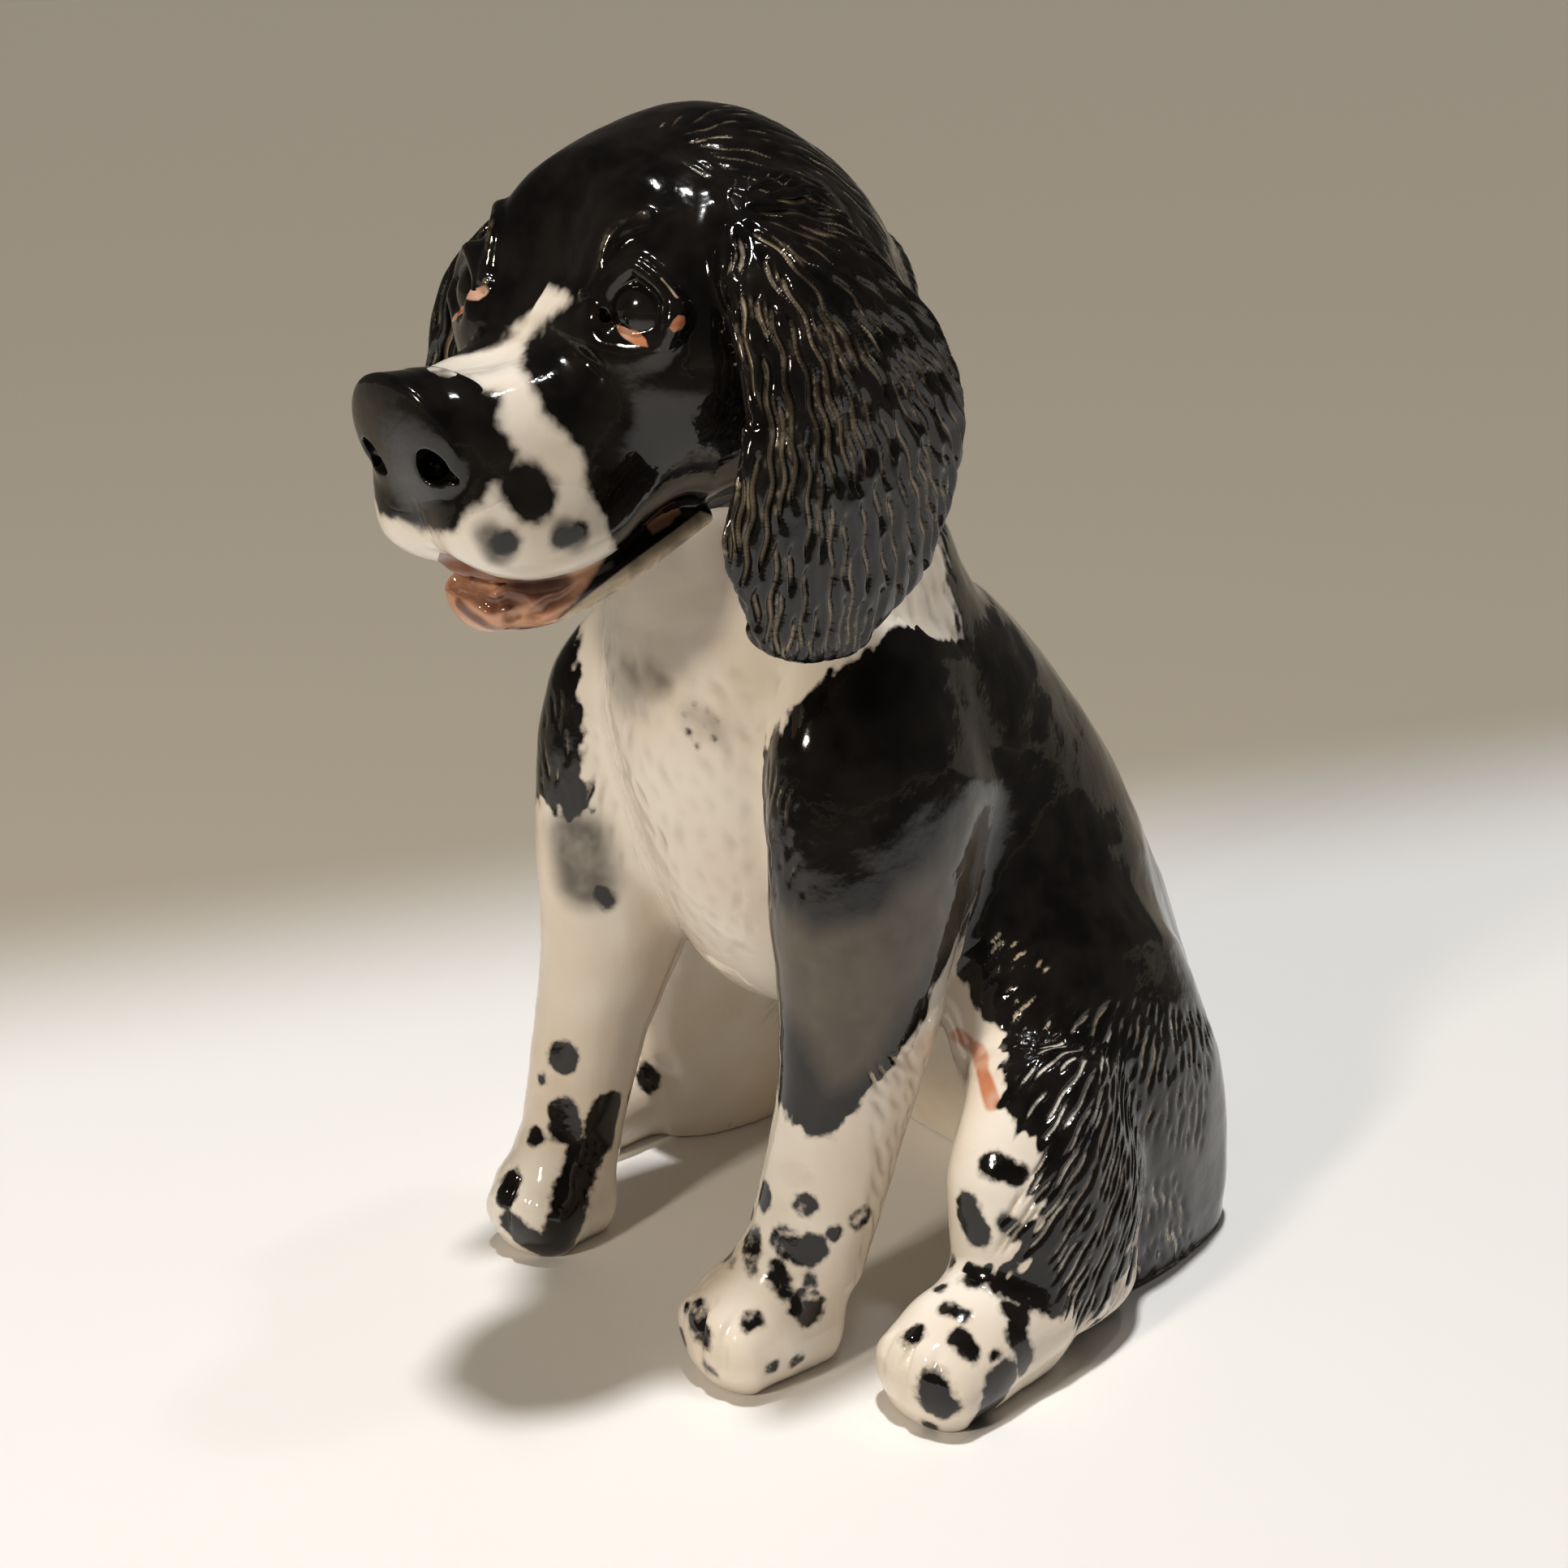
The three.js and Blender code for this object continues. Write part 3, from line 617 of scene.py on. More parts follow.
def comb(points, normals, keep, heading, hair, rng):
    """Strands over a skin: rows of places that follow the hair and keep their distance from one another."""
    tree = KDTree(len(points))
    for i, point in enumerate(points):
        tree.insert(point, i)
    tree.balance()
    across = np.cross(normals, heading)
    spacing = hair.spacing
    taken = {}

    def cell(place):
        return tuple(math.floor(c / spacing) for c in place)

    def crowded(place, gap):
        near = itertools.product(*[(c - 1, c, c + 1) for c in cell(place)])
        return any((other - place).length < gap for key in near for other in taken.get(key, ()))

    strands = []
    for start in rng.permutation(np.flatnonzero(keep))[:HAIR_TRIES]:
        place = Vector(points[start])
        length = rng.uniform(*hair.length)
        phase = rng.uniform(0, math.tau)
        strand = []
        for k in range(int(length / HAIR_STEP)):
            spot, i, _ = tree.find(place)
            out = Vector(normals[i])
            place = place - out * (place - spot).dot(out)
            if not keep[i] or crowded(place, spacing * (STRAND_GAP if strand else 1)):
                break
            strand.append(place)
            swing = hair.sway * math.sin(phase + math.tau * k * HAIR_STEP / HAIR_WAVE)
            place = place + Vector(heading[i] + swing * across[i]) * HAIR_STEP
        if len(strand) * HAIR_STEP >= SHORTEST_STRAND * hair.length[0]:
            strands.append(strand)
            for place in strand:
                taken.setdefault(cell(place), []).append(place)
    return strands, tree


def carve(name, points, normals, seed):
    """Depth of the combed lines at each point, their share of a full line, and how bare each is scraped."""
    depth, line, scraped = np.zeros((3, len(points)))
    left = to_left(points, name)
    pixels = project(left)
    side = np.where(points[:, :1] < 0, MIRROR, 1)
    rng = np.random.default_rng(seed)
    for hair in (row for row in HAIR if row.piece == kind(name)):
        heading = (left - hair.root) * side
        heading -= normals * (heading * normals).sum(axis=1, keepdims=True)
        heading /= np.maximum(lengths(heading), 1e-6)
        keep = depth_inside(pixels, hair.within) > 0 if hair.within else np.ones(len(points), bool)
        strands, tree = comb(points, normals, keep, heading, hair, rng)
        for strand in strands:
            scrape = rng.uniform(*hair.bare)
            for k, place in enumerate(strand):
                taper = min(1, (k + 1) / TAPER_IN, (len(strand) - k) / TAPER_OUT)
                for _, i, gap in tree.find_range(place, 2 * hair.width):
                    share = taper * math.exp(-((gap / hair.width) ** 2))
                    if share > line[i]:
                        line[i] = share
                        depth[i] = share * hair.depth
                        scraped[i] = scrape
    return depth, line, scraped


# Brushwork. Outlines are drawn on the photograph; a coat is black inside its outline.
TORSO_COAT = [
    (1150, 640), (1172, 700), (1182, 790), (1093, 800), (1040, 850), (1000, 950), (1000, 1080),
    (1080, 1180), (1150, 1205), (1200, 1245), (1260, 1320), (1330, 1420), (1400, 1700), (1700, 1700),
    (1700, 500), (1150, 500),
]
RIGHT_CHEST_COAT = [
    (600, 560), (730, 560), (722, 740), (715, 753), (712, 821), (719, 935), (731, 998), (700, 1010),
    (672, 985), (600, 985),
]
SHOULDER_COAT = [
    (1110, 770), (1093, 785), (1048, 812), (1003, 844), (975, 876), (953, 907), (930, 948), (919, 985),
    (921, 1025), (926, 1093), (930, 1130), (935, 1161), (941, 1229), (946, 1297), (958, 1340), (975, 1385),
    (1000, 1407), (1025, 1398), (1045, 1375), (1100, 1315), (1125, 1280), (1165, 1195), (1220, 1080),
    (1300, 1000), (1300, 760),
]
HAUNCH_COAT = [
    (1100, 1000), (1140, 1150), (1180, 1190), (1200, 1245), (1240, 1275), (1220, 1305), (1225, 1350),
    (1240, 1385), (1330, 1700), (1700, 1800), (1700, 800),
]
SHANK_COAT = [
    (1235, 1363), (1262, 1400), (1289, 1428), (1272, 1461), (1285, 1500), (1252, 1535), (1262, 1560),
    (1199, 1567), (1199, 1600), (1250, 1612), (1305, 1620), (1313, 1661), (1366, 1612), (1395, 1567),
    (1415, 1480), (1440, 1400), (1500, 1300), (1400, 1180), (1240, 1250),
]
BLAZE = [
    (630, 330), (668, 351), (686, 356), (697, 362), (700, 369), (695, 378), (677, 394), (649, 426),
    (643, 451), (656, 472), (668, 505), (684, 526), (716, 554), (724, 583), (731, 615), (749, 644),
    (755, 669), (763, 690), (740, 800), (400, 800), (300, 500), (480, 430),
]
BELOW_BLAZE_EDGE = [
    (706, 358), (666, 376), (641, 394), (613, 411), (574, 429), (538, 433), (499, 440), (470, 452),
    (300, 500), (300, 800), (760, 800), (760, 358),
]
# Painted reflection: outline where the black of the left shoulder is laid grey-brown, as the pale floor would
# show in the glaze
SHOULDER_PAINTED_REFLECTION = [
    (938, 1094), (1004, 1144), (1082, 1117), (1160, 1039), (1199, 972), (1225, 1000), (1227, 1072),
    (1182, 1172), (1105, 1285), (1055, 1335), (1025, 1340), (1000, 1290), (950, 1240),
]
NOSE_PAD = [
    (420, 470), (480, 452), (545, 458), (574, 476), (616, 486), (615, 526), (634, 558), (631, 583),
    (606, 597), (591, 619), (574, 629), (562, 655), (520, 650), (470, 620), (420, 540),
]
JAW_RIM = [
    (960, 540), (850, 590), (790, 630), (752, 668), (738, 702), (722, 724), (704, 746), (688, 764),
    (684, 784), (705, 800), (780, 790), (960, 700),
]

BARED_JAW = [(682, 764), (700, 747), (765, 697), (862, 625), (905, 640), (780, 745), (690, 790)]
MOUTH_CORNER = [(796, 648), (812, 634), (832, 622), (838, 632), (822, 648), (804, 660)]

LID_WEDGES = [
    [(758, 398), (770, 401), (785, 407), (796, 417), (799, 428), (786, 427), (772, 419), (762, 409)],
    [(829, 395), (836, 388), (844, 389), (845, 398), (840, 406), (830, 410), (824, 404)],
]
FAR_WEDGE = [(564, 336), (573, 348), (588, 355), (600, 350), (602, 362), (590, 370), (575, 369), (565, 356)]
FAR_WEDGE_REACH = 4.5
LID_BLUSHES = [(3, (764, 404), (780, 413), (793, 422)), (3, (839, 393), (834, 403))]
FAR_LID_BLUSH = [(3, (569, 348), (580, 361), (594, 361))]

# Which way a brush's hairs ran out of the edge of each coat, and how many millimetres
STROKES = {
    "foreleg": ((0, -0.6, -0.8), 1.2), "torso": ((0, -0.3, -0.95), 0.9), "haunch": ((0, -0.5, -0.85), 1.4),
    "shank": ((0, -0.7, -0.7), 2.6), "head": ((0, -0.9, -0.4), 0.4), "flew": ((0, -0.9, -0.4), 0.4),
}
STROKE_WIDTH, STROKE_STRETCH = 1.5, 4.5
# How sharply the black ends on each piece, and how unevenly
SHARPNESS = {"head": 0.45, "flew": 0.7, "forepaw": 0.8, "hindpaw": 0.8, "lower_jaw": 0.7}
RAGGEDNESS = {"head": 0.35, "flew": 0.5, "lower_eyelid": 0.3, "eyeball": 0.1, "lower_jaw": 0.4, "tongue": 0.4}
STROKE_SEED = 31
THIN_INK, THIN_BELOW = 0.3, 32  # watery spots low on the left foreleg

# Spots: radius of a brush in millimetres, and the pixels that it passes through
FACE_SPOTS = [
    (3.6, (638, 600), (650, 612)), (1.5, (612, 578), (630, 592)), (1.9, (622, 667)),
    (1.4, (690, 662), (708, 654)), (0.9, (598, 652)),
]
FORE_SPOTS = [
    (1.7, (942, 1475)), (1.6, (992, 1484)), (1.1, (920, 1495)), (2.1, (929, 1527), (937, 1560)),
    (2.2, (967, 1530), (1000, 1540)), (2, (1060, 1500)), (0.9, (1030, 1520)),
    (1.6, (957, 1563), (968, 1590)), (2.7, (992, 1606)), (1.3, (996, 1577)), (1.1, (907, 1560)),
    (1.7, (857, 1615), (868, 1652)), (1.4, (835, 1651)), (1.5, (925, 1625)), (1.5, (875, 1686)),
    (1, (950, 1686)), (1.2, (982, 1675)), (0.9, (846, 1612)),
]
RIGHT_FORE_SPOTS = [
    (1.1, (740, 1098), (747, 1112)), (2.6, (693, 1303)), (1.1, (668, 1332)),
    (2.5, (692, 1372), (695, 1392)), (3, (748, 1368), (742, 1398)), (3.3, (715, 1425), (705, 1475)),
    (1.5, (662, 1400)), (3.2, (700, 1490), (690, 1535)), (2, (628, 1455), (622, 1475)),
    (2.8, (632, 1512), (672, 1538)),
]
HIND_SPOTS = [
    (1.8, (1222, 1436), (1252, 1447)), (2, (1194, 1488), (1206, 1520)),
    (1.5, (1240, 1506), (1248, 1514)), (1.5, (1180, 1560)), (0.9, (1160, 1588)),
    (2.3, (1205, 1580), (1250, 1592), (1298, 1606)), (0.9, (1165, 1614), (1186, 1624)),
    (1.8, (1125, 1646)), (1.4, (1182, 1648), (1198, 1662)), (1, (1226, 1669)),
    (1.7, (1252, 1642), (1264, 1678)), (1.2, (1244, 1614), (1256, 1626)),
    (3.1, (1150, 1716), (1154, 1726)), (2.8, (1236, 1700), (1208, 1744)), (1.4, (1144, 1760)),
]
RIGHT_HIND_SPOTS = [(2.4, (797, 1327))]
CHEST_SPECKLES = [
    (845, 880), (858, 870), (872, 875), (884, 888), (868, 893), (850, 900), (880, 908), (862, 918),
]
CHEST_SMUDGES = [
    (3, (768, 815), (786, 838)), (3.4, (800, 822), (816, 840)), (4, (852, 878), (884, 900)),
]
SPECKLE_RADIUS = 0.35
FAINT = 0.38
SMUDGES = [
    (7.4, (712, 1035), (722, 1085)), (3.4, (744, 1105)), (2.8, (692, 654), (708, 662)),
    (3, (602, 655), (616, 680)),
]
# Painted shade: wine-dark patches in the folds of the lips, along the lower lip's edge and deep in the mouth
MOUTH_PAINTED_SHADE = [
    (2, (556, 712), (568, 723), (582, 729), (596, 741), (606, 746)), (2.3, (640, 742), (618, 743)),
    (2.6, (630, 724), (660, 728), (690, 718)), (1.9, (672, 748), (688, 737)),
    (1.5, (566, 744), (592, 764), (632, 774), (680, 770)), (1.2, (664, 754), (700, 734)),
]
# How far the whole tongue is darkened toward the wine tone, as painted shade inside the mouth
TONGUE_PAINTED_SHADE = 0.55
FLANK_MARK = [(1.8, (1164, 1262), (1186, 1276), (1204, 1290), (1212, 1312), (1216, 1335), (1224, 1360))]

# Crests that were wiped or scraped until the clay shows through, and how bare they are
SCRATCHES = [
    (BROW_CREST[:6], ["head"], 0.6), ([(795, 325), (815, 344), (833, 365), (847, 384)], None, 0.7),
    ([(735, 374), (742, 390), (756, 402)], None, 0.6), ([(766, 428), (790, 436), (812, 430)], None, 0.5),
]
SCRATCH_WIDTH = 0.32

MARKS = {"ink": [], "smudge_and_shade": [], "blush": []}


def brush(channel, spots, mirror=False, setback=0, strength=1.0):
    for radius, *pixels in spots:
        path = np.array(traced(pixels))
        MARKS[channel].append((path, radius, strength))
        if mirror:
            MARKS[channel].append((path * MIRROR + (0, setback, 0), radius, strength))


brush("ink", FACE_SPOTS, mirror=True)
brush("ink", FORE_SPOTS + RIGHT_FORE_SPOTS + RIGHT_HIND_SPOTS)
brush("ink", HIND_SPOTS, mirror=True, setback=HIND_SETBACK)
brush("ink", [(SPECKLE_RADIUS, pixel) for pixel in CHEST_SPECKLES])
brush("smudge_and_shade", CHEST_SMUDGES, strength=FAINT)
# Grey smudges, and the painted shade in the mouth
brush("smudge_and_shade", SMUDGES + MOUTH_PAINTED_SHADE)
brush("blush", LID_BLUSHES + FLANK_MARK, mirror=True)
brush("blush", FAR_LID_BLUSH)

SCRATCH_PATHS = []
for pixels, nodes, bare in SCRATCHES:
    path = np.array(traced(pixels, nodes))
    SCRATCH_PATHS += [(path, bare), (path * MIRROR, bare)]


def lid_wedges(points, pixels):
    """How far each point lies inside the bare corners of the eyes."""
    inside = np.max([depth_inside(pixels, wedge) for wedge in LID_WEDGES], axis=0)
    near_eye = EYE_RADIUS + FAR_WEDGE_REACH - np.linalg.norm(points - EYE * MIRROR, axis=1)
    far = np.minimum(depth_inside(project(points), FAR_WEDGE), near_eye)
    return np.maximum(inside, far)


COVERED, BARE = 9.0, -9.0  # depth where a coat covers a whole piece, and where there is none
BACK_COAT, BACK_EDGE = 9, 4  # half width of the coat on the back, and how far behind the spine it starts
FORELEG_COAT_FROM = 15
HAUNCH_COAT_FROM = (37, 22, 46)  # past any of these the thigh is black
TAIL_COAT_END = 70
IRIS = 4.2
WEDGE_EDGE, LOWER_LID_EDGE, CORNER_EDGE = 5, 3, 2  # times as sharp as the edge of a coat


def coat(name, points):
    """How many millimetres each point lies inside the black coat, before any spots."""
    left = to_left(points, name)
    pixels, seen = project(left), project(points)
    x, y, z = left.T
    piece = kind(name)
    if piece in ("nose", "ear", "upper_eyelid"):
        return np.full(len(points), COVERED)
    if piece in ("head", "flew"):
        white = depth_inside(pixels, BLAZE)
        far_side = np.where(points[:, 0] < 0, depth_inside(seen, BELOW_BLAZE_EDGE), COVERED)
        ink = np.maximum(-np.minimum(white, far_side), depth_inside(pixels, NOSE_PAD))
        return np.minimum(ink, -WEDGE_EDGE * lid_wedges(points, pixels)) if piece == "head" else ink
    if piece == "torso":
        ink = depth_inside(pixels, TORSO_COAT)
        _, spine_y, spine_z, *_ = zip(*TORSO)
        spine = np.interp(z, spine_z, spine_y)
        ink = np.maximum(ink, np.minimum(BACK_COAT - x, y - spine - BACK_EDGE))
        right = np.where(points[:, 0] < 0, depth_inside(seen, RIGHT_CHEST_COAT), BARE)
        return np.maximum(ink, right)
    if name == "left_foreleg":
        return np.minimum(depth_inside(pixels, SHOULDER_COAT), x - FORELEG_COAT_FROM)
    if name == "right_foreleg":
        return depth_inside(seen, RIGHT_CHEST_COAT)
    if piece == "haunch":
        outside = (left - HAUNCH_COAT_FROM).max(axis=1)
        return np.minimum(depth_inside(pixels, HAUNCH_COAT), outside)
    if piece == "shank":
        return depth_inside(pixels, SHANK_COAT)
    if piece == "lower_jaw":
        return np.minimum(depth_inside(pixels, JAW_RIM), -CORNER_EDGE * depth_inside(pixels, MOUTH_CORNER))
    if piece == "tail":
        return TAIL_COAT_END - points[:, 1]
    rel = left - EYE
    if piece == "eyeball":
        return IRIS - np.linalg.norm(rel - (rel @ EYE_LOOK)[:, None] * EYE_LOOK, axis=1)
    if piece == "lower_eyelid":
        return -LOWER_LID_EDGE * lid_wedges(points, pixels)
    return np.full(len(points), BARE)


FRECKLES, FRECKLE_RADII, FRECKLE_HEIGHTS = 9, (0.8, 2.1), (3, 32)
OUT_OF_SIGHT = 0.05  # cosine to the camera below which a face isn't seen


def freckles(name, points, normals, rng):
    """Spots on the lower legs and feet where the photograph doesn't show them."""
    if kind(name) not in ("forepaw", "hindpaw", "foreleg", "shank"):
        return
    low, high = FRECKLE_HEIGHTS
    hidden = (normals @ BACK < OUT_OF_SIGHT) & (points[:, 2] > low) & (points[:, 2] < high)
    for i in rng.permutation(np.flatnonzero(hidden))[:FRECKLES]:
        MARKS["ink"].append((points[i : i + 1], rng.uniform(*FRECKLE_RADII), 1.0))


def paint(name, points):
    piece = kind(name)
    ink = coat(name, points)
    if piece in STROKES:
        way, reach = STROKES[piece]
        along = np.outer(points @ way, way) * (1 - 1 / STROKE_STRETCH)
        ink = ink + reach * noise(points - along, STROKE_WIDTH, STROKE_SEED)
    for path, radius, strength in MARKS["ink"]:
        ink = np.maximum(ink, strength * (radius - path_distance(points, path)))
    if name in ("left_foreleg", "left_forepaw"):
        ink = np.where(points[:, 2] < THIN_BELOW, np.minimum(ink, THIN_INK), ink)
    layers = {"ink": ink * SHARPNESS.get(piece, 1), "ragged": np.full(len(points), RAGGEDNESS.get(piece, 1))}
    for channel in ("smudge_and_shade", "blush"):
        layers[channel] = np.zeros(len(points))
        for path, radius, strength in MARKS[channel]:
            share = strength * (1 - path_distance(points, path) / radius)
            layers[channel] = np.maximum(layers[channel], share)
    layers["painted_reflection"] = np.full(len(points), BARE)
    # Painted reflection of the pale floor, on the left shoulder's black
    if name == "left_foreleg":
        layers["painted_reflection"] = depth_inside(project(points), SHOULDER_PAINTED_REFLECTION)
    # Painted shade: the tongue is darkened where it lies inside the mouth
    if piece == "tongue":
        layers["smudge_and_shade"] = np.maximum(layers["smudge_and_shade"], TONGUE_PAINTED_SHADE)
    return layers


def scratch(points, line, scraped):
    """Adds the scratched crests of the face to the combed lines."""
    for path, bare in SCRATCH_PATHS:
        share = np.exp(-((path_distance(points, path) / SCRATCH_WIDTH) ** 2))
        scraped[share > line] = bare
        np.maximum(line, share, out=line)


JAW_WIPE, JAW_WIPE_EDGE = 0.72, (-0.3, 0.9)  # how bare the jaw is wiped, and how softly that ends


def bare_jaw(points, line, scraped):
    """Wipes the glaze off along the jaw's lower edge."""
    share = smooth_step(*JAW_WIPE_EDGE, depth_inside(project(to_left(points, "lower_jaw")), BARED_JAW))
    scraped[share > line] = JAW_WIPE
    np.maximum(line, share, out=line)


def wear(points, normals, quads):
    """How sharply the clay turns outward at each point, where the glaze runs thin."""
    start, end = edges(quads)
    count = np.bincount(start, minlength=len(points))
    mean = gather(start, points[end], len(points))
    sharp = ((points - mean / count[:, None]) * normals).sum(axis=1)
    for _ in range(2):
        sharp = np.bincount(start, sharp[end], len(points)) / count
    return sharp


# Glaze: one recipe for every slot


class Recipe:
    """Short way to add and wire the nodes of one material."""

    def __init__(self, name):
        self.material = bpy.data.materials.new(name)
        self.material.use_nodes = True
        self.tree = self.material.node_tree
        self.shader = self.tree.nodes["Principled BSDF"]
        self.place = self.node("TexCoord").outputs["Object"]

    def node(self, sort):
        return self.tree.nodes.new("ShaderNode" + sort)

    def put(self, socket, value):
        if isinstance(value, bpy.types.NodeSocket):
            self.tree.links.new(value, socket)
        else:
            socket.default_value = value

    def layer(self, name):
        node = self.node("Attribute")
        node.attribute_name = name
        return node.outputs["Fac"]

    def noise(self, scale, detail=2.0):
        node = self.node("TexNoise")
        self.put(node.inputs["Vector"], self.place)
        self.put(node.inputs["Scale"], scale)
        self.put(node.inputs["Detail"], detail)
        return node.outputs["Fac"]

    def math(self, operation, a, b):
        node = self.node("Math")
        node.operation = operation
        self.put(node.inputs[0], a)
        self.put(node.inputs[1], b)
        return node.outputs[0]

    def times(self, a, b):
        return self.math("MULTIPLY", a, b)

    def ramp(self, value, low, high, start=0.0, end=1.0):
        node = self.node("MapRange")
        node.interpolation_type = "SMOOTHSTEP"
        numbers = {"Value": value, "From Min": low, "From Max": high, "To Min": start, "To Max": end}
        for socket, number in numbers.items():
            self.put(node.inputs[socket], number)
        return node.outputs["Result"]

    def mix(self, share, a, b):
        node = self.node("Mix")
        node.data_type = "RGBA"
        for socket, value in zip((node.inputs[0], node.inputs[6], node.inputs[7]), (share, a, b)):
            self.put(socket, (*value, 1) if isinstance(value, tuple) else value)
        return node.outputs[2]

    def finish(self, inputs):
        for name, value in inputs.items():
            self.put(self.shader.inputs[name], value)
        return self.material


INK_THICK, INK_THIN, INK_WASH = (0.004, 0.0035, 0.0035), (0.011, 0.009, 0.008), (0.17, 0.14, 0.11)
SCRAPED = (0.56, 0.45, 0.31)
BLUSH = (0.55, 0.21, 0.10)
SMOKE = (0.10, 0.086, 0.066)
# Painted reflection: grey-brown laid over the black glaze
PAINTED_REFLECTION_GREY = (0.13, 0.108, 0.08)
# Tone of the painted shade in the mouth's folds and over the tongue
PAINTED_SHADE_WINE = (0.10, 0.03, 0.019)

# Noise cells to a metre, how far two of them move a coat's edge and how far one moves the edge of the painted
# reflection
FINE_GRAIN, BROAD_GRAIN, WIDE_GRAIN, BUMP_GRAIN = 750, 190, 45, 330
FINE_RAG, BROAD_RAG, REFLECTION_RAG = 1.3, 2.4, 7.0
LINE_PAINTED_SHADE, BARE_TONE = 0.62, 0.85  # of the clay in a combed line, darkened there as painted shade in the groove, and where the black is scraped off
GLAZE_IOR = 1.5
BUMP_STRENGTH, BUMP_DISTANCE = 0.2, 0.0004


def glaze(name, ground, shade, smudge_and_shade=SMOKE):
    r = Recipe(name)
    fine, broad, wide = r.noise(FINE_GRAIN, 3), r.noise(BROAD_GRAIN), r.noise(WIDE_GRAIN)
    clay = r.mix(r.ramp(wide, 0.35, 0.65), ground, shade)
    line, bare, sharp = r.layer("line"), r.layer("scraped"), r.layer("wear")
    # Painted shade: the clay darkens inside the combed grooves
    clay = r.mix(r.times(line, 0.45), clay, tuple(LINE_PAINTED_SHADE * c for c in shade))
    # Grey smudges, and on the pink pieces the wine-dark painted shade of the mouth
    smudged_and_shaded = r.times(r.ramp(r.layer("smudge_and_shade"), 0, 0.7), r.ramp(broad, 0.3, 0.6, 0.75, 0.95))
    clay = r.mix(smudged_and_shaded, clay, smudge_and_shade)
    blushed = r.times(r.ramp(r.layer("blush"), 0.05, 0.5), r.ramp(broad, 0.2, 0.6, 0.5, 1.0))
    clay = r.mix(blushed, clay, BLUSH)
    ragged = r.math("ADD", r.times(fine, FINE_RAG), r.times(broad, BROAD_RAG))
    ragged = r.math("SUBTRACT", ragged, (FINE_RAG + BROAD_RAG) / 2)
    ink = r.math("ADD", r.layer("ink"), r.times(r.layer("ragged"), ragged))
    clay = r.mix(r.ramp(ink, -0.7, 0.1, 0, 0.5), clay, INK_WASH)
    black = r.mix(r.ramp(broad, 0.3, 0.7), INK_THICK, INK_THIN)
    # Painted reflection: the black turns grey-brown inside the shoulder's outline, with a wavy edge
    painted_reflection = r.math("ADD", r.layer("painted_reflection"), r.times(r.math("SUBTRACT", wide, 0.5), REFLECTION_RAG))
    reflection_share = r.times(r.ramp(painted_reflection, -2.0, 3.5), r.ramp(broad, 0.3, 0.7, 0.75, 1.0))
    black = r.mix(reflection_share, black, PAINTED_REFLECTION_GREY)
    worn = r.times(r.ramp(bare, 0, 0.8), r.ramp(broad, 0.3, 0.6, 0.25, 1.0))
    stroke = r.times(r.ramp(line, 0.52, 0.9), worn)
    thin = r.times(r.ramp(sharp, 0.02, 0.06), r.ramp(fine, 0.4, 0.65, 0.1, 0.6))
    showing = r.math("MAXIMUM", stroke, thin)
    bared = r.mix(r.ramp(bare, 0.75, 0.95), SCRAPED, tuple(BARE_TONE * c for c in ground))
    black = r.mix(showing, black, bared)
    colour = r.mix(r.ramp(ink, -0.3, 0.3), clay, black)
    rough = r.math("ADD", r.ramp(broad, 0.3, 0.7, 0.045, 0.11), r.times(showing, 0.2))
    bump = r.node("Bump")
    r.put(bump.inputs["Strength"], BUMP_STRENGTH)
    r.put(bump.inputs["Distance"], BUMP_DISTANCE)
    r.put(bump.inputs["Height"], r.math("ADD", r.noise(BUMP_GRAIN), r.times(fine, 0.35)))
    face = bump.outputs["Normal"]
    return r.finish({"Base Color": colour, "Roughness": rough, "IOR": GLAZE_IOR, "Normal": face})


# Each slot's ground and a second tone that noise mixes in, and the tone of its smudges where that isn't the
# grey SMOKE; on the pink slot that tone is the wine of the painted shade in the mouth
CREAM = (0.87, 0.81, 0.72), (0.80, 0.70, 0.58)
PINK = (0.62, 0.33, 0.20), (0.50, 0.22, 0.12), PAINTED_SHADE_WINE
BROWN = (0.016, 0.008, 0.005), (0.010, 0.005, 0.0035)
GROUNDS = {"white": CREAM, "black": CREAM, "pink": PINK, "brown": BROWN}
MATERIALS = {slot: glaze(f"{slot}_glaze", *tones) for slot, tones in GROUNDS.items()}
SLOT = dict.fromkeys(("head", "nose", "upper_eyelid", "ear", "haunch", "shank"), "black")
SLOT |= dict.fromkeys(("lower_jaw", "tongue", "lower_eyelid"), "pink") | {"eyeball": "brown"}


def new_object(name, data):
    made = bpy.data.objects.new(name, data)
    bpy.context.scene.collection.objects.link(made)
    return made


def make_piece(name, points, quads, layers):
    mesh = bpy.data.meshes.new(name + "_glazed")
    mesh.from_pydata((points + ORIGIN) * MM, [], quads)
    mesh.shade_smooth()
    for layer, values in layers.items():
        mesh.attributes.new(layer, "FLOAT", "POINT").data.foreach_set("value", values.astype(np.float32))
    piece = new_object(name + "_glazed", mesh)
    slot = SLOT.get(kind(name), "white")
    mesh.materials.append(MATERIALS[slot])
    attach(piece, "root")
    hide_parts(name)


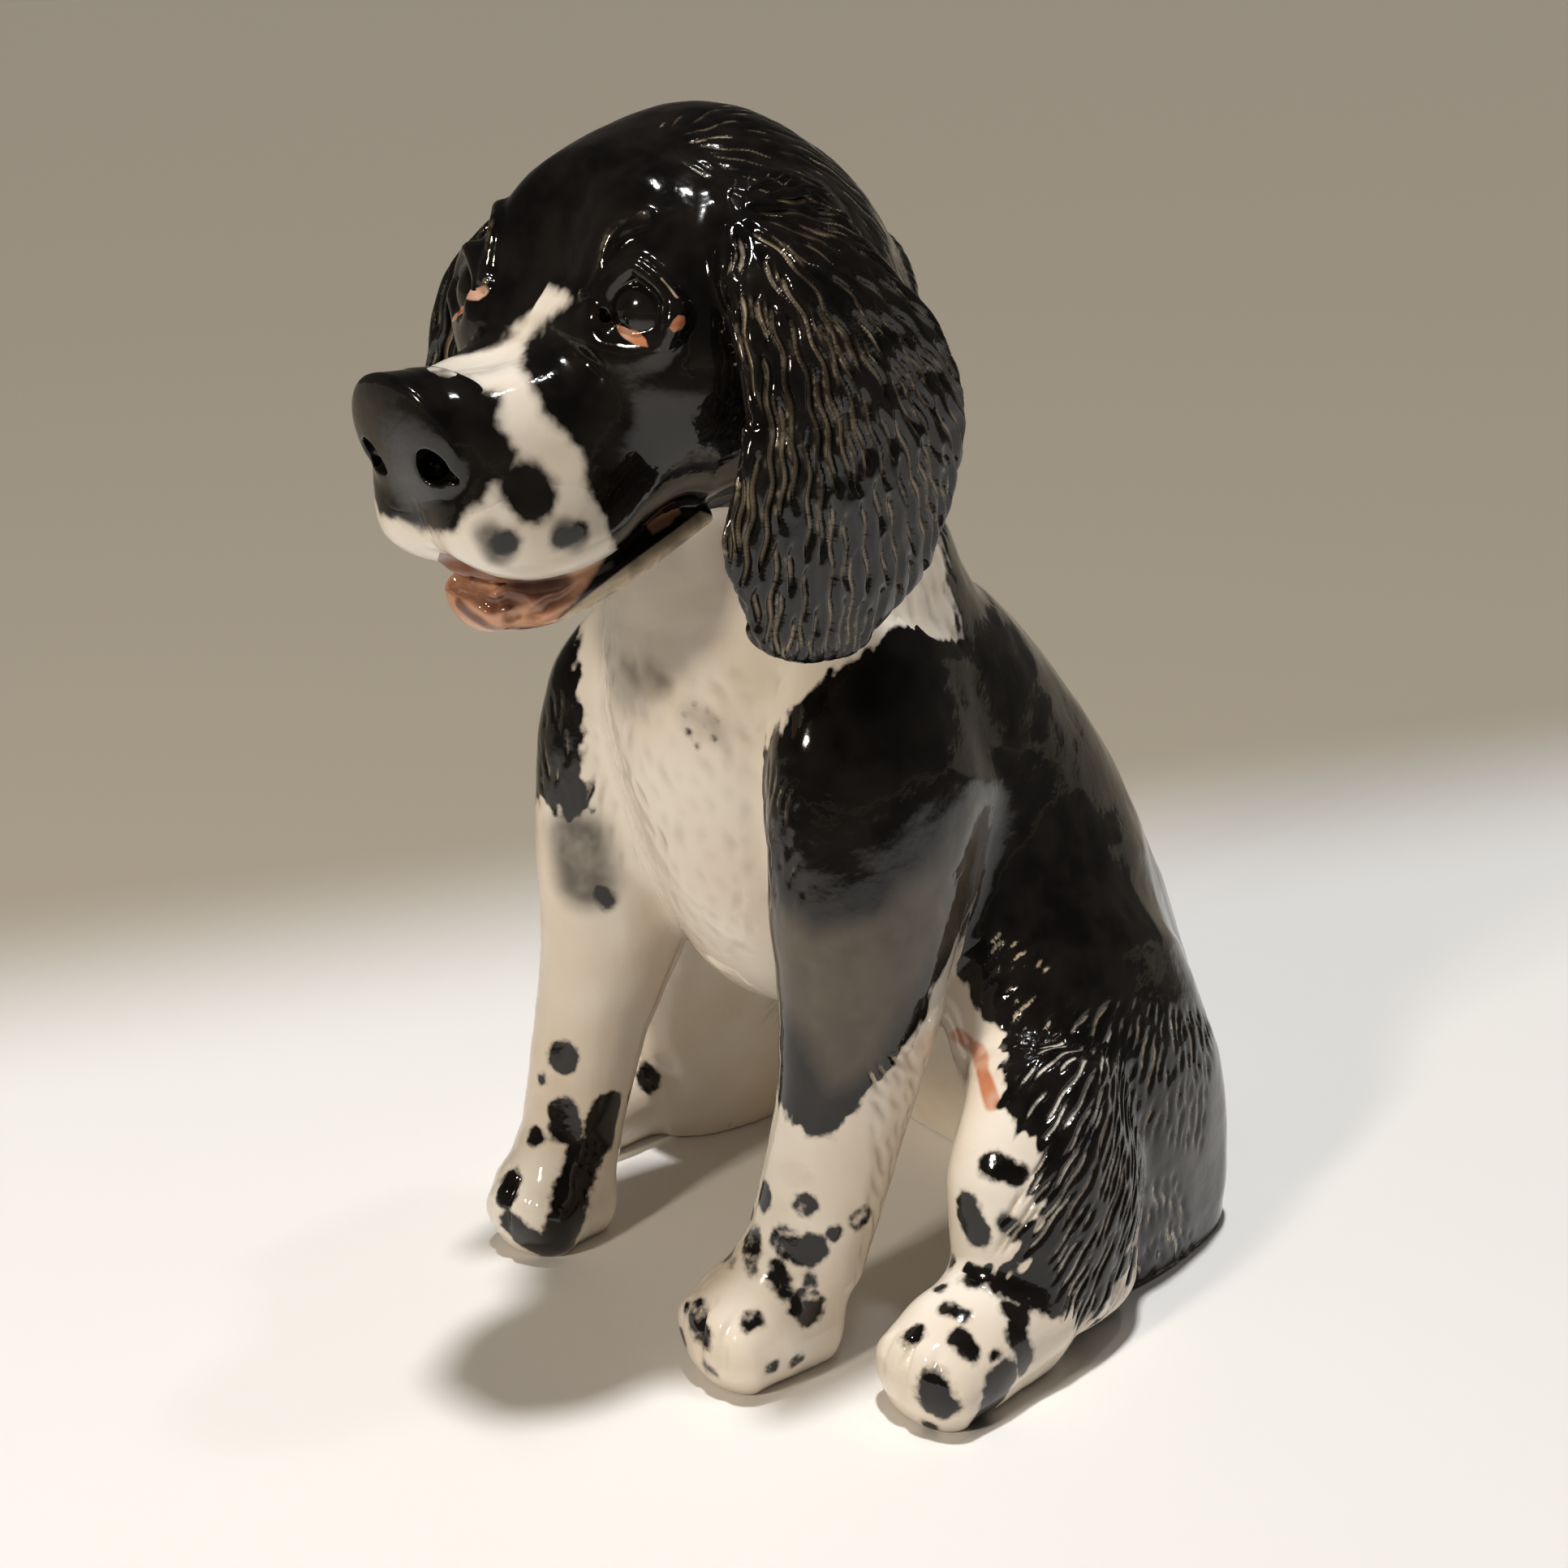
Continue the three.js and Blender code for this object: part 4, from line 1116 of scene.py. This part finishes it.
LUMPS = ((11, 0.22), (4.5, 0.1))  # size across and height of the hand's unevenness
LUMP_SEED, FRECKLE_SEED = 7, 100
FINE_WORK = 0.3  # share of it on the small pieces of the face
for seed, (name, (points, quads)) in enumerate(SKINS.items()):
    normals = normals_of(points, quads)
    freckles(name, points, normals, np.random.default_rng(FRECKLE_SEED + seed))
    depth, line, scraped = carve(name, points, normals, seed)
    if kind(name) in ("head", "upper_eyelid", "lower_eyelid"):
        scratch(points, line, scraped)
    if name == "lower_jaw":
        bare_jaw(points, line, scraped)
    layers = paint(name, points)
    uneven = sum(height * noise(points, across, LUMP_SEED) for across, height in LUMPS)
    if kind(name) in ("eyeball", "upper_eyelid", "lower_eyelid", "nose"):
        uneven = uneven * FINE_WORK
    points = points + normals * (uneven - depth)[:, None]
    layers.update(line=line, scraped=scraped, wear=wear(points, normals_of(points, quads), quads))
    make_piece(name, points, quads, layers)


# Stage. Height in the sky, 0 at the horizon and 1 overhead, and the room's tone there
HORIZON = 0.015, (0.30, 0.26, 0.20, 1)
HAZE = 0.04, (0.10, 0.09, 0.075, 1)
CEILING = 0.55, (0.025, 0.023, 0.02, 1)


def world_light():
    """A dim room that is paler toward the horizon, where it meets the floor's far tone."""
    world = bpy.data.worlds.new("studio")
    world.use_nodes = True
    tree = world.node_tree
    sorts = ("TexCoord", "SeparateXYZ", "ValToRGB")
    place, split, ramp = (tree.nodes.new("ShaderNode" + sort) for sort in sorts)
    tree.links.new(place.outputs["Generated"], split.inputs[0])
    tree.links.new(split.outputs["Z"], ramp.inputs["Fac"])
    stops = ramp.color_ramp.elements
    stops[0].position, stops[0].color = HORIZON
    stops[1].position, stops[1].color = CEILING
    stops.new(HAZE[0]).color = HAZE[1]
    tree.links.new(ramp.outputs["Color"], tree.nodes["Background"].inputs["Color"])
    return world


FLOOR_SIZE, TABLE_ROUGHNESS = 400, 0.6
TABLE, TABLE_CLOUD = (0.85, 0.835, 0.81), (0.83, 0.81, 0.785)
PAINTED_FALLOFF, PAINTED_FALLOFF_FROM = (0.08, 0.07, 0.055), (0.26, 0.6)  # painted falloff: the floor's tone far from the dog, around a painted pool of light, and where it comes in
WALL, WALL_FROM = (0.37, 0.32, 0.245), (0.09, 0.21)  # and behind it
BEHIND = (-0.9, 0.44, 0)


def floor_material():
    r = Recipe("floor")
    far = r.node("VectorMath")
    far.operation = "LENGTH"
    r.put(far.inputs[0], r.place)
    beyond = r.node("VectorMath")
    beyond.operation = "DOT_PRODUCT"
    r.put(beyond.inputs[0], r.place)
    r.put(beyond.inputs[1], BEHIND)
    pale = r.mix(r.noise(12), TABLE, TABLE_CLOUD)
    # Painted pool of light: the floor is pale near the dog and darkens outward
    near = r.mix(r.ramp(far.outputs["Value"], *PAINTED_FALLOFF_FROM), pale, PAINTED_FALLOFF)
    tone = r.mix(r.ramp(beyond.outputs["Value"], *WALL_FROM), near, WALL)
    return r.finish({"Base Color": tone, "Roughness": TABLE_ROUGHNESS})


SUN_FROM = (0.0, 0.0, 1.0)
SUN_POWER, SUN_ANGLE = 2.5, math.radians(4)
SECOND_FROM, SECOND_POWER = (0.14, 0.21, 1.0), 0.2
FILL_PLACE, FILL_SIZE, FILL_POWER = (0.1, -0.8, 0.6), 0.1, 3.7
FILL_COLOUR = (1.0, 0.88, 0.72)
LAMP_AIM = Vector((0, 0, 0.08))
SENSOR = 36


def add_lamp(name, sort, place, power, **settings):
    light = bpy.data.lights.new(name, sort)
    light.energy = power
    for setting, value in settings.items():
        setattr(light, setting, value)
    lamp = new_object(name, light)
    lamp.location = place
    lamp.rotation_euler = (LAMP_AIM - Vector(place)).to_track_quat("-Z", "Y").to_euler()


def stage():
    scene = bpy.context.scene
    scene.view_settings.view_transform = "Standard"
    scene.world = world_light()
    bpy.ops.mesh.primitive_plane_add(size=FLOOR_SIZE)
    floor = bpy.context.object
    floor.name = "floor"
    floor.data.materials.append(floor_material())
    data = bpy.data.cameras.new("camera")
    data.sensor_width = SENSOR
    data.lens = SENSOR * FOCAL / PHOTO
    data.clip_start = 0.01
    camera = new_object("camera", data)
    pose = Matrix([[*row] for row in np.stack((RIGHT, UP, BACK), -1)]).to_4x4()
    pose.translation = Vector((CAMERA + ORIGIN) * MM)
    camera.matrix_world = pose
    scene.camera = camera
    add_lamp("key", "SUN", SUN_FROM, SUN_POWER, angle=SUN_ANGLE)
    add_lamp("second", "SUN", SECOND_FROM, SECOND_POWER, angle=SUN_ANGLE)
    add_lamp("fill", "AREA", FILL_PLACE, FILL_POWER, size=FILL_SIZE, color=FILL_COLOUR)


stage()
